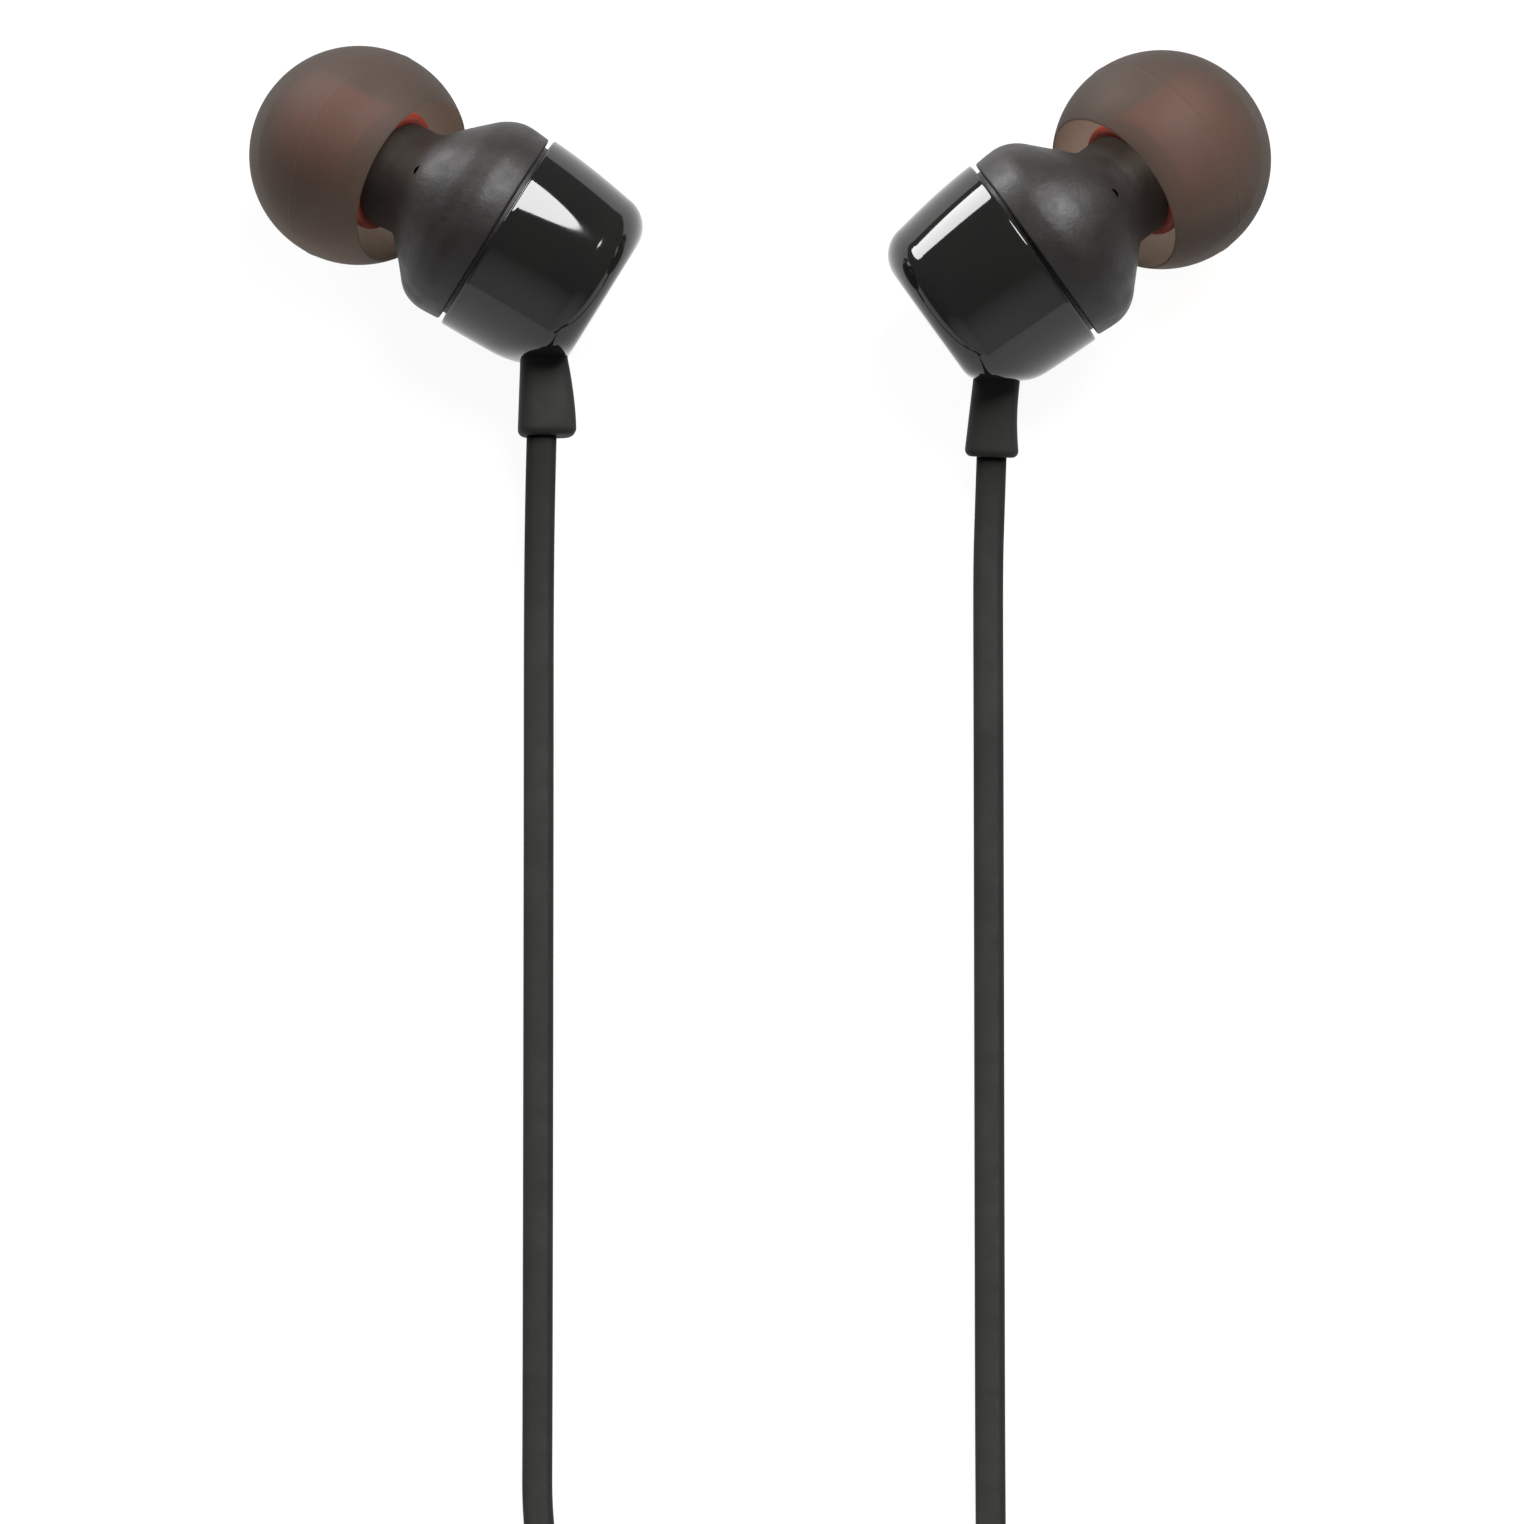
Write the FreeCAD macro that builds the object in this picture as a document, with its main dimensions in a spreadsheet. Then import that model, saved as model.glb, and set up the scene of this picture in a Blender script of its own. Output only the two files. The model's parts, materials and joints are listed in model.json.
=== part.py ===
import FreeCAD, Part
import math
import os
import Sketcher
from FreeCAD import Placement, Rotation, Vector

# Wired in-ear earphones: two earpieces, a flat lead from each, an in-line remote, a splitter and a
# four-contact plug. The earpieces lie on a surface at Z = 0 and the spare cord is coiled below them.
# Each earpiece has its own frame: the origin is the centre of the housing seam, +X runs along the
# housing towards the ear, +Z faces up and the nozzle bends towards -Z.

SIZES = {
    # housings
    "seam_radius": 5.6,
    "seam_gap": 0.15,
    "shoulder_start": 2.3,
    "shoulder_radius": 5.52,
    "shoulder_slope": 1.21,
    "shoulder_end": 5.0,
    "shoulder_round": 1.6,
    "spigot_length": 1.4,
    "spigot_radius": 5.15,
    "cavity_radius": 4.65,
    "ledge_start": 1.55,
    "throat_radius": 4.0,
    "rear_radius": 5.72,
    "rear_taper": 0.28,
    "rear_length": 6.86,
    "rear_round": 1.75,
    "rear_wall": 0.86,
    "rear_socket": 5.2,
    "rear_chamfer": 1.4,
    "spigot_gap": 0.05,
    "cord_hole_spare": 0.6,
    "facet_distance": 6.97,
    # nozzle
    "bend_start": 3.7,
    "bend_angle": 30.0,
    "neck_radius": 2.9,
    "neck_length": 2.95,
    "neck_root": 2.0,
    "neck_round": 0.9,
    "stem_radius": 2.0,
    "stem_length": 4.13,
    "bead_radius": 2.12,
    "bead_length": 0.7,
    "bead_chamfer": 0.14,
    "bore_radius": 1.5,
    "mesh_radius": 1.72,
    "mesh_thickness": 0.15,
    "mesh_recess": 0.25,
    "vent_radius": 0.28,
    "vent_place": 4.96,
    # ear tip
    "dome_radius": 5.85,
    "dome_wall": 0.5,
    "dome_rim_angle": 36.0,
    "dome_reach": 5.35,
    "sound_hole_radius": 2.1,
    "core_radius": 3.2,
    "core_bore": 2.17,
    "collar_radius": 3.35,
    "collar_length": 0.85,
    # driver
    "frame_radius": 4.55,
    "frame_back": 1.6,
    "frame_front": 1.25,
    "frame_floor": 0.5,
    "frame_wall": 0.25,
    "yoke_radius": 3.3,
    "yoke_wall": 0.55,
    "yoke_back": 2.3,
    "yoke_front": 0.05,
    "magnet_radius": 2.2,
    "magnet_length": 1.2,
    "pole_radius": 2.25,
    "pole_thickness": 0.5,
    "coil_radius": 2.58,
    "coil_wall": 0.18,
    "coil_length": 1.35,
    "film_radius": 4.25,
    "film_start": 0.62,
    "film_crown": 0.16,
    "film_dome": 0.1,
    "film_slope": 0.06,
    "film_thickness": 0.08,
    "cover_radius": 4.5,
    "cover_thickness": 0.3,
    "cover_hole": 0.55,
    "cover_ring": 2.6,
    "board_radius": 3.0,
    "board_thickness": 0.4,
    "damping_inner": 3.45,
    "damping_thickness": 0.12,
    "knot_radius": 1.1,
    "knot_depth": 2.12,
    # strain reliefs of the earpieces
    "relief_place_back": 5.8,
    "relief_place_side": 4.5,
    "relief_length": 4.1,
    "relief_top_width": 2.5,
    "relief_top_depth": 2.2,
    "relief_end_width": 3.05,
    "relief_end_depth": 2.4,
    "relief_round": 0.5,
    # where and how each earpiece lies
    "lean": 27.0,
    "left_seam_x": -14.1,
    "left_seam_y": 0.57,
    "left_seam_height": 6.85,
    "left_tilt": 148.1,
    "left_roll": 9.5,
    "left_exit_angle": 58.0,
    "right_seam_x": 14.65,
    "right_seam_y": -0.86,
    "right_seam_height": 7.25,
    "right_tilt": 35.9,
    "right_roll": 0.0,
    "right_exit_angle": 52.0,
    # cords and coils
    "lead_diameter": 1.2,
    "main_diameter": 1.5,
    "lead_coil_radius": 9.0,
    "lead_coil_band": 3.8,
    "lead_coil_height": 3.2,
    "main_coil_radius": 13.5,
    "main_coil_band": 8.2,
    "main_coil_height": 4.9,
    "left_coil_x": -15.0,
    "left_coil_y": -90.0,
    "right_coil_x": 15.5,
    "right_coil_y": -119.5,
    "main_coil_x": 9.5,
    "main_coil_y": -152.0,
    "tie_width": 3.0,
    "tie_wall": 0.3,
    "tie_slack": 0.2,
    "left_tie_angle": 205.0,
    "right_tie_angle": 0.0,
    "main_tie_angle": -20.0,
    # remote
    "remote_x": 12.17,
    "remote_top_y": -78.0,
    "remote_length": 26.0,
    "remote_width": 7.0,
    "remote_split": 2.2,
    "remote_split_gap": 0.05,
    "remote_height": 4.6,
    "remote_wall": 0.75,
    "remote_round": 1.0,
    "button_length": 9.0,
    "button_width": 3.2,
    "button_gap": 0.1,
    "button_flange": 0.5,
    "button_flange_thickness": 0.4,
    "button_flange_gap": 0.05,
    "button_proud": 0.4,
    "nub_radius": 0.6,
    "nub_length": 0.45,
    "nub_overlap": 0.1,
    "remote_board_thickness": 0.6,
    "remote_board_gap": 0.1,
    "switch_size": 3.0,
    "switch_height": 0.3,
    "microphone_length": 2.5,
    "microphone_height": 0.8,
    "microphone_place": 9.0,
    # splitter
    "splitter_top_y": -123.0,
    "splitter_length": 10.0,
    "splitter_width": 7.0,
    "splitter_height": 3.2,
    "splitter_round": 0.8,
    # plug
    "plug_x": -7.0,
    "plug_y": -174.0,
    "plug_height": 3.4,
    "plug_relief_length": 7.0,
    "plug_relief_small": 1.3,
    "plug_relief_large": 2.4,
    "plug_body_radius": 3.3,
    "plug_body_length": 14.0,
    "plug_body_round": 0.8,
    "plug_pin_radius": 1.75,
    "plug_core_radius": 1.0,
    "plug_sleeve_length": 4.4,
    "plug_ring_length": 2.4,
    "plug_collar_length": 0.6,
    "plug_tip_neck": 1.2,
    "plug_tip_shoulder": 0.4,
    "plug_tip_groove": 1.0,
    "plug_tip_bulge": 2.1,
    "plug_tip_bulge_radius": 1.7,
    "plug_tip_length": 3.0,
    "plug_tip_end": 0.9,
}

doc = FreeCAD.newDocument("Earphones")
sheet = doc.addObject("Spreadsheet::Sheet", "Sizes")
for row, (alias, number) in enumerate(SIZES.items(), start=1):
    sheet.set("A%d" % row, alias)
    sheet.set("B%d" % row, str(number))
    sheet.setAlias("B%d" % row, alias)
doc.recompute()

nodes = []


def size(alias):
    """The value of one cell of the sheet."""
    return float(sheet.get(alias))


def bound(text):
    """An expression in which every alias is read from the sheet."""
    words = []
    for word in text.split():
        bare = word.strip("()")
        words.append(word.replace(bare, "Sizes." + bare) if bare in SIZES else word)
    return " ".join(words)


def part(kind, name, at=None, **sizes):
    """A Part primitive whose sizes are expressions of the sheet."""
    piece = doc.addObject("Part::" + kind, name)
    for key, text in sizes.items():
        piece.setExpression(key, bound(text))
    if at is not None:
        piece.Placement = at
    return piece


def cut(name, base, tool):
    piece = doc.addObject("Part::Cut", name)
    piece.Base = base
    piece.Tool = tool
    return piece


def fuse(name, *pieces):
    piece = doc.addObject("Part::MultiFuse", name)
    piece.Shapes = list(pieces)
    piece.Refine = True
    return piece


def rounded(name, base, radius, wanted):
    """Round the edges of base that the test wanted() picks."""
    doc.recompute()
    piece = doc.addObject("Part::Fillet", name)
    piece.Base = base
    width = size(radius)
    piece.Edges = [(i, width, width) for i, edge in enumerate(base.Shape.Edges, start=1) if wanted(edge)]
    return piece


def keep(piece, label, at=Placement()):
    """Give a finished sub-part its label and its place."""
    doc.recompute()
    piece.Label = label
    piece.Placement = at.multiply(piece.Placement)
    nodes.append(piece)
    return piece


def along_x(distance=0.0):
    """Turns a primitive's own +Z to +X and moves it along X."""
    return Placement(Vector(distance, 0, 0), Rotation(Vector(0, 1, 0), 90))


def ring(name, outer, inner, length, start):
    """A ring about X from start, as a cylinder with a bore."""
    solid = part("Cylinder", name + "_solid", along_x(start), Radius=outer, Height=length)
    bore = part("Cylinder", name + "_bore", along_x(start), Radius=inner, Height=length)
    return cut(name + "_ring", solid, bore)


def outline(sketch, corners):
    """Close straight lines through the corners. A corner is a pair of expressions; None lies on the axis."""
    count = len(corners)
    for index in range(count):
        here = 2 * math.pi * index / count
        there = 2 * math.pi * (index + 1) / count
        start = Vector(5 + 4 * math.cos(here), 5 + 4 * math.sin(here), 0)
        end = Vector(5 + 4 * math.cos(there), 5 + 4 * math.sin(there), 0)
        sketch.addGeometry(Part.LineSegment(start, end), False)
    for index in range(count):
        sketch.addConstraint(Sketcher.Constraint("Coincident", index, 2, (index + 1) % count, 1))
    for index, (along, out) in enumerate(corners):
        for kind, axis, text in (("DistanceX", -2, along), ("DistanceY", -1, out)):
            if text is None:
                sketch.addConstraint(Sketcher.Constraint("PointOnObject", index, 1, axis))
                continue
            number = sketch.addConstraint(Sketcher.Constraint(kind, -1, 1, index, 1, 1.0))
            sketch.setExpression("Constraints[%d]" % number, bound(text))


def turned(name, corners):
    """A body turned about X from an outline of (along, out) corners."""
    body = doc.addObject("PartDesign::Body", name)
    sketch = body.newObject("Sketcher::SketchObject", name + "_outline")
    plane = [item for item in body.Origin.OriginFeatures if item.Role == "XY_Plane"][0]
    sketch.AttachmentSupport = [(plane, "")]
    sketch.MapMode = "FlatFace"
    outline(sketch, corners)
    doc.recompute()
    turn = body.newObject("PartDesign::Revolution", name + "_turn")
    turn.Profile = sketch
    turn.ReferenceAxis = (sketch, ["H_Axis"])
    turn.Angle = 360
    sketch.Visibility = False
    doc.recompute()
    return body


def round_corner(body, name, radius, near):
    """Round the circular edge of a turned body that passes nearest to the corner (along, out)."""
    base = body.Tip
    point = Part.Vertex(Vector(near[0], near[1], 0))
    gaps = {}
    for number, edge in enumerate(base.Shape.Edges, start=1):
        if isinstance(edge.Curve, Part.Circle):
            gaps[number] = edge.distToShape(point)[0]
    index = min(gaps, key=gaps.get)
    fillet = body.newObject("PartDesign::Fillet", name)
    fillet.Base = (base, ["Edge%d" % index])
    fillet.setExpression("Radius", bound(radius))
    doc.recompute()
    return body


def flipped(distance=0.0):
    """Turns a piece drawn along +X to run back from the seam."""
    return Placement(Vector(distance, 0, 0), Rotation(Vector(0, 0, 1), 180))


# Earpieces


def lies(side):
    """The placement of an earpiece: rolled about its housing, tilted in the plane and leaned back."""
    seam = Vector(size(side + "_seam_x"), size(side + "_seam_y"), size(side + "_seam_height"))
    lean = Placement(seam, Rotation(Vector(1, 0, 0), size("lean")))
    tilt = Placement(Vector(), Rotation(Vector(0, 0, 1), size(side + "_tilt")))
    roll = Placement(Vector(), Rotation(Vector(1, 0, 0), size(side + "_roll")))
    return lean.multiply(tilt).multiply(roll)


def nozzle():
    """The nozzle's frame: +X along the bent nozzle from the point where the axes cross."""
    return Placement(Vector(size("bend_start"), 0, 0), Rotation(Vector(0, 1, 0), size("bend_angle")))


def exit_frame(side, hand):
    """The frame of the cord's exit: origin on the facet and +X out along the strain relief."""
    near = Vector(-size("relief_place_back"), hand * size("relief_place_side"), 0)
    turn = Rotation(Vector(0, 0, 1), hand * (180 - size(side + "_exit_angle")))
    out = turn.multVec(Vector(1, 0, 0))
    return Placement(near + out * (size("facet_distance") - near.dot(out)), turn)


def front_housing(side, at):
    name = side + "_front"
    slope_end = "shoulder_radius - shoulder_slope * (shoulder_end - shoulder_start)"
    shell = turned(name + "_shell", [
        ("seam_gap", None),
        ("seam_gap", "seam_radius"),
        ("shoulder_start", "shoulder_radius"),
        ("shoulder_end", slope_end),
        ("shoulder_end", None),
    ])
    shoulder = (size("shoulder_start"), size("shoulder_radius"))
    round_corner(shell, name + "_shoulder", "shoulder_round", shoulder)
    neck_place = nozzle().multiply(along_x())
    root_place = nozzle().multiply(along_x(-size("neck_root")))
    neck = part("Cylinder", name + "_neck", root_place, Radius="neck_radius",
                Height="neck_length + neck_root")
    joined = fuse(name + "_joined", shell, neck)

    def is_neck_root(edge):
        faces = joined.Shape.ancestorsOfType(edge, Part.Face)
        kinds = sorted(face.Surface.TypeId.split("Geom")[1] for face in faces)
        return kinds == ["Cone", "Cylinder"] and edge.CenterOfMass.x > size("shoulder_start") + 1

    smooth = rounded(name + "_smooth", joined, "neck_round", is_neck_root)
    stem = part("Cylinder", name + "_stem", neck_place, Radius="stem_radius",
                Height="neck_length + stem_length")
    bead_start = size("neck_length") + size("stem_length") - size("bead_length") - size("bead_chamfer")
    bead_place = nozzle().multiply(along_x(bead_start))
    bead = part("Cylinder", name + "_bead", bead_place, Radius="bead_radius", Height="bead_length")
    spigot_place = along_x(-size("spigot_length"))
    spigot_length = "spigot_length + seam_gap + seam_gap"
    spigot = part("Cylinder", name + "_spigot", spigot_place, Radius="spigot_radius", Height=spigot_length)
    solid = fuse(name + "_solid", smooth, stem, bead, spigot)
    cavity_length = "spigot_length + ledge_start"
    cavity = part("Cylinder", name + "_cavity", spigot_place, Radius="cavity_radius", Height=cavity_length)
    throat_place = along_x(size("ledge_start"))
    throat_length = "bend_start - ledge_start"
    throat = part("Cone", name + "_throat", throat_place,
                  Radius1="throat_radius", Radius2="bore_radius", Height=throat_length)
    bore_place = nozzle().multiply(along_x(-size("bore_radius") / 2))
    bore_length = "neck_length + stem_length + bore_radius"
    bore = part("Cylinder", name + "_bore", bore_place, Radius="bore_radius", Height=bore_length)
    recess_start = size("neck_length") + size("stem_length") - size("mesh_recess")
    recess_place = nozzle().multiply(along_x(recess_start))
    recess = part("Cylinder", name + "_recess", recess_place, Radius="mesh_radius", Height="mesh_recess")
    vent_place = Placement(Vector(size("vent_place"), 0, 0), Rotation())
    vent = part("Cylinder", name + "_vent", vent_place, Radius="vent_radius", Height="2 * neck_radius")
    hollow = fuse(name + "_hollow", cavity, throat, bore, recess, vent)
    keep(cut(name + "_housing", solid, hollow), side + "_front_housing", at)


def rear_housing(side, hand, at):
    name = side + "_rear"
    shell = turned(name + "_shell", [
        ("seam_gap", "rear_radius"),
        ("rear_length", "rear_radius - rear_taper"),
        ("rear_length", None),
        ("rear_length - rear_wall", None),
        ("rear_length - rear_wall", "cavity_radius - rear_chamfer"),
        ("rear_length - rear_wall - rear_chamfer", "cavity_radius"),
        ("spigot_length + spigot_gap", "cavity_radius"),
        ("spigot_length + spigot_gap", "rear_socket"),
        ("seam_gap", "rear_socket"),
    ])
    corner = (size("rear_length"), size("rear_radius") - size("rear_taper"))
    round_corner(shell, name + "_corner", "rear_round", corner)
    shell.Placement = flipped()
    block = part("Box", name + "_facet", Length="rear_length", Width="2 * rear_radius",
                 Height="2 * rear_radius")
    turn = Rotation(Vector(0, 0, 1), hand * (180 - size(side + "_exit_angle")))
    wide = size("rear_radius")
    corner_at = Vector(size("facet_distance"), -wide, -wide)
    block.Placement = Placement(Vector(), turn).multiply(Placement(corner_at, Rotation()))
    cord_hole = part("Cylinder", name + "_cord_hole", Radius="lead_diameter / 2",
                     Height="2 * rear_wall + cord_hole_spare")
    back = -2 * size("rear_wall")
    cord_hole.Placement = exit_frame(side, hand).multiply(along_x(back))
    keep(cut(name + "_housing", shell, fuse(name + "_tools", block, cord_hole)), side + "_rear_housing", at)


def ear_tip(side, at):
    """The dome and its core, about the dome's centre, with +Z turned along the nozzle."""
    name = side + "_tip"
    centre = at.multiply(nozzle()).multiply(along_x(size("dome_reach")))
    outer = part("Sphere", name + "_outer", Radius="dome_radius", Angle1="- dome_rim_angle")
    inner = part("Sphere", name + "_inner", Radius="dome_radius - dome_wall")
    inner.setExpression("Angle2", bound("acos( core_radius / ( dome_radius - dome_wall ) )"))
    hole = part("Cylinder", name + "_hole", Radius="sound_hole_radius", Height="2 * dome_radius")
    keep(cut(name + "_dome", outer, fuse(name + "_hollow", inner, hole)), side + "_ear_tip", centre)
    back = size("neck_length") - size("dome_reach")
    core_front = "sqrt( ( dome_radius - dome_wall ) ^ 2 - core_radius ^ 2 )"
    core = part("Cylinder", name + "_core", Radius="core_radius",
                Height=core_front + " + dome_reach - neck_length")
    core.Placement = Placement(Vector(0, 0, back), Rotation())
    collar = part("Cylinder", name + "_collar", Radius="collar_radius", Height="collar_length")
    collar.Placement = Placement(Vector(0, 0, back), Rotation())
    bore = part("Cylinder", name + "_core_bore", Radius="core_bore", Height="4 * dome_radius")
    bore.Placement = Placement(Vector(0, 0, -2 * size("dome_radius")), Rotation())
    keep(cut(name + "_tube", fuse(name + "_grip", core, collar), bore), side + "_ear_tip_core", centre)


def driver(side, at):
    """The dynamic driver, from its back board to the front cover, about the housing's axis."""
    frame_back = -size("frame_back")
    inner = "frame_radius - frame_wall"
    wall = ring(side + "_frame_wall", "frame_radius", inner, "frame_back + frame_front", frame_back)
    floor = ring(side + "_frame_floor", "frame_radius", "yoke_radius", "frame_floor", frame_back)
    keep(fuse(side + "_frame", wall, floor), side + "_driver_frame", at)

    yoke_back = -size("yoke_back")
    cup_place = along_x(yoke_back)
    cup = part("Cylinder", side + "_cup", cup_place, Radius="yoke_radius", Height="yoke_back - yoke_front")
    pit_place = along_x(yoke_back + size("yoke_wall"))
    pit = part("Cylinder", side + "_pit", pit_place, Radius="yoke_radius - yoke_wall", Height="yoke_back")
    keep(cut(side + "_yoke", cup, pit), side + "_driver_yoke", at)

    magnet_place = along_x(yoke_back + size("yoke_wall"))
    magnet = part("Cylinder", side + "_magnet", magnet_place, Radius="magnet_radius", Height="magnet_length")
    keep(magnet, side + "_driver_magnet", at)
    pole_place = along_x(yoke_back + size("yoke_wall") + size("magnet_length"))
    pole = part("Cylinder", side + "_pole", pole_place, Radius="pole_radius", Height="pole_thickness")
    keep(pole, side + "_driver_pole_plate", at)

    coil_start = size("film_start") - size("coil_length")
    coil = ring(side + "_coil", "coil_radius", "coil_radius - coil_wall", "coil_length", coil_start)
    keep(coil, side + "_voice_coil", at)

    crown = "film_start + film_crown"
    film = turned(side + "_film", [
        ("film_start", "film_radius"),
        (crown, "0.8 * film_radius"),
        ("film_start", "0.6 * film_radius"),
        (crown + " + film_slope", "0.3 * film_radius"),
        (crown + " + film_dome", None),
        (crown + " + film_dome + film_thickness", None),
        (crown + " + film_slope + film_thickness", "0.3 * film_radius"),
        ("film_start + film_thickness", "0.6 * film_radius"),
        (crown + " + film_thickness", "0.8 * film_radius"),
        ("film_start + film_thickness", "film_radius"),
    ])
    keep(film, side + "_diaphragm", at)

    cover_place = along_x(size("frame_front"))
    disc = part("Cylinder", side + "_cover_disc", cover_place, Radius="cover_radius",
                Height="cover_thickness")
    holes = []
    for step in range(6):
        angle = math.radians(60 * step)
        ring_radius = size("cover_ring")
        place = Vector(size("frame_front"), ring_radius * math.cos(angle), ring_radius * math.sin(angle))
        hole = part("Cylinder", side + "_cover_hole_%d" % step, Radius="cover_hole", Height="cover_thickness")
        hole.Placement = Placement(place, Rotation(Vector(0, 1, 0), 90))
        holes.append(hole)
    middle = part("Cylinder", side + "_cover_middle", cover_place, Radius="2 * cover_hole",
                  Height="cover_thickness")
    keep(cut(side + "_cover", disc, fuse(side + "_cover_holes", middle, *holes)), side + "_driver_cover", at)

    board_place = along_x(yoke_back - size("board_thickness"))
    board = part("Cylinder", side + "_board", board_place, Radius="board_radius", Height="board_thickness")
    keep(board, side + "_driver_board", at)
    damping_start = frame_back - size("damping_thickness")
    damping = ring(side + "_damping", "frame_radius", "damping_inner", "damping_thickness", damping_start)
    keep(damping, side + "_damping_disc", at)


def small_pieces(side, hand, at):
    mesh_start = size("neck_length") + size("stem_length") - size("mesh_recess")
    mesh_place = nozzle().multiply(along_x(mesh_start))
    mesh = part("Cylinder", side + "_mesh", mesh_place, Radius="mesh_radius", Height="mesh_thickness")
    keep(mesh, side + "_nozzle_mesh", at)
    knot = part("Sphere", side + "_knot", Radius="knot_radius")
    knot.Placement = exit_frame(side, hand).multiply(Placement(Vector(-size("knot_depth"), 0, 0), Rotation()))
    keep(knot, side + "_cord_knot", at)


def strain_relief(side, hand, at):
    """A sleeve that widens from the facet to the cord, rounded along its sides and at its end."""
    wedge = doc.addObject("Part::Wedge", side + "_relief_wedge")
    faces = {
        "Xmin": "0", "Xmax": "relief_top_width", "Zmin": "0", "Zmax": "relief_top_depth",
        "Ymin": "0", "Ymax": "relief_length",
        "X2min": "( relief_top_width - relief_end_width ) / 2",
        "X2max": "( relief_top_width + relief_end_width ) / 2",
        "Z2min": "( relief_top_depth - relief_end_depth ) / 2",
        "Z2max": "( relief_top_depth + relief_end_depth ) / 2",
    }
    for key in ("Ymin", "Ymax", "Xmin", "Xmax", "Zmin", "Zmax", "X2min", "X2max", "Z2min", "Z2max"):
        wedge.setExpression(key, bound(faces[key]))
    limit = size("relief_length")

    def off_the_facet(edge):
        return edge.BoundBox.YMax > limit / 2

    sleeve = rounded(side + "_relief_sleeve", wedge, "relief_round", off_the_facet)
    doc.recompute()
    middle = Vector(-size("relief_top_width") / 2, 0, -size("relief_top_depth") / 2)
    out_along_x = Placement(Vector(), Rotation(Vector(0, 0, 1), -90)).multiply(Placement(middle, Rotation()))
    keep(sleeve, side + "_strain_relief", at.multiply(exit_frame(side, hand)).multiply(out_along_x))


def earpiece(side, hand):
    at = lies(side)
    rear_housing(side, hand, at)
    front_housing(side, at)
    ear_tip(side, at)
    driver(side, at)
    small_pieces(side, hand, at)
    strain_relief(side, hand, at)


def cord_exit(side, hand):
    """The middle of the strain relief's end face, where the lead starts, and a point a little further out."""
    out = lies(side).multiply(exit_frame(side, hand))
    end = size("relief_length")
    return [out.multVec(Vector(end, 0, 0)), out.multVec(Vector(end + size("lead_diameter"), 0, 0))]


# Cords


def cord(label, route, diameter):
    """A round tube of straight runs joined by tangent arcs, each as large as its two runs allow."""
    points = [Vector(*point) for point in route]
    edges = []
    radii = []
    start = points[0]
    for before, corner, after in zip(points, points[1:], points[2:]):
        back = (before - corner)
        ahead = (after - corner)
        reach = 0.45 * min(back.Length, ahead.Length)
        turn = math.pi - back.getAngle(ahead)
        back.normalize()
        ahead.normalize()
        radius = reach / math.tan(turn / 2)
        inward = (back + ahead).normalize()
        middle = corner + inward * (radius / math.cos(turn / 2) - radius)
        entry = corner + back * reach
        leave = corner + ahead * reach
        edges.append(Part.LineSegment(start, entry).toShape())
        edges.append(Part.Arc(entry, middle, leave).toShape())
        start = leave
        radii.append(radius)
    edges.append(Part.LineSegment(start, points[-1]).toShape())
    spine = Part.Wire(edges)
    section = Part.Wire([Part.makeCircle(size(diameter) / 2, points[0], points[1] - points[0])])
    tube = spine.makePipeShell([section], True, False)
    piece = doc.addObject("Part::Feature", label + "_tube")
    piece.Shape = tube
    keep(piece, label)
    expected = math.pi * size(diameter) ** 2 / 4 * spine.Length
    listed = ", ".join("%.1f" % radius for radius in radii)
    print("%s: length %.1f, volume %.3f of what is expected, radii %s" % (
        label, spine.Length, tube.Volume / expected, listed))


def coil(side, kind):
    """The closed outer shape of a wound coil, a flat ring, and the tie that bites into its underside."""
    middle = kind + "_coil_radius"
    half_band = kind + "_coil_band / 2"
    tall = kind + "_coil_height"
    label = side + ("_lead_coil" if kind == "lead" else "_coil")
    outer = part("Cylinder", label + "_outer", Radius=middle + " + " + half_band, Height=tall)
    inner = part("Cylinder", label + "_inner", Radius=middle + " - " + half_band, Height=tall)
    wall = size("tie_wall")
    place = Placement(Vector(size(side + "_coil_x"), size(side + "_coil_y"), 0), Rotation())
    keep(cut(label + "_ring", outer, inner), label, place)

    inside = kind + "_coil_band + 2 * tie_slack"
    strap = part("Box", label + "_strap", Length=inside + " + 2 * tie_wall", Width="tie_width",
                 Height=tall + " + tie_wall")
    space = part("Box", label + "_space", Length=inside, Width="tie_width", Height=tall + " - tie_wall")
    space.Placement = Placement(Vector(wall, 0, wall), Rotation())
    start = size(middle) - size(kind + "_coil_band") / 2 - size("tie_slack") - wall
    turn = Placement(place.Base, Rotation(Vector(0, 0, 1), size(side + "_tie_angle")))
    corner = Placement(Vector(start, -size("tie_width") / 2, 0), Rotation())
    keep(cut(label + "_band", strap, space), label + "_tie", turn.multiply(corner))


# In-line remote


def remote_block(name, bottom, top):
    """A rounded block over the remote's outline between two heights."""
    block = part("Box", name, Length="remote_width", Width="remote_length", Height=top + " - " + bottom)
    block.Placement = Placement(Vector(-size("remote_width") / 2, -size("remote_length"), 0), Rotation())
    return block


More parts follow.
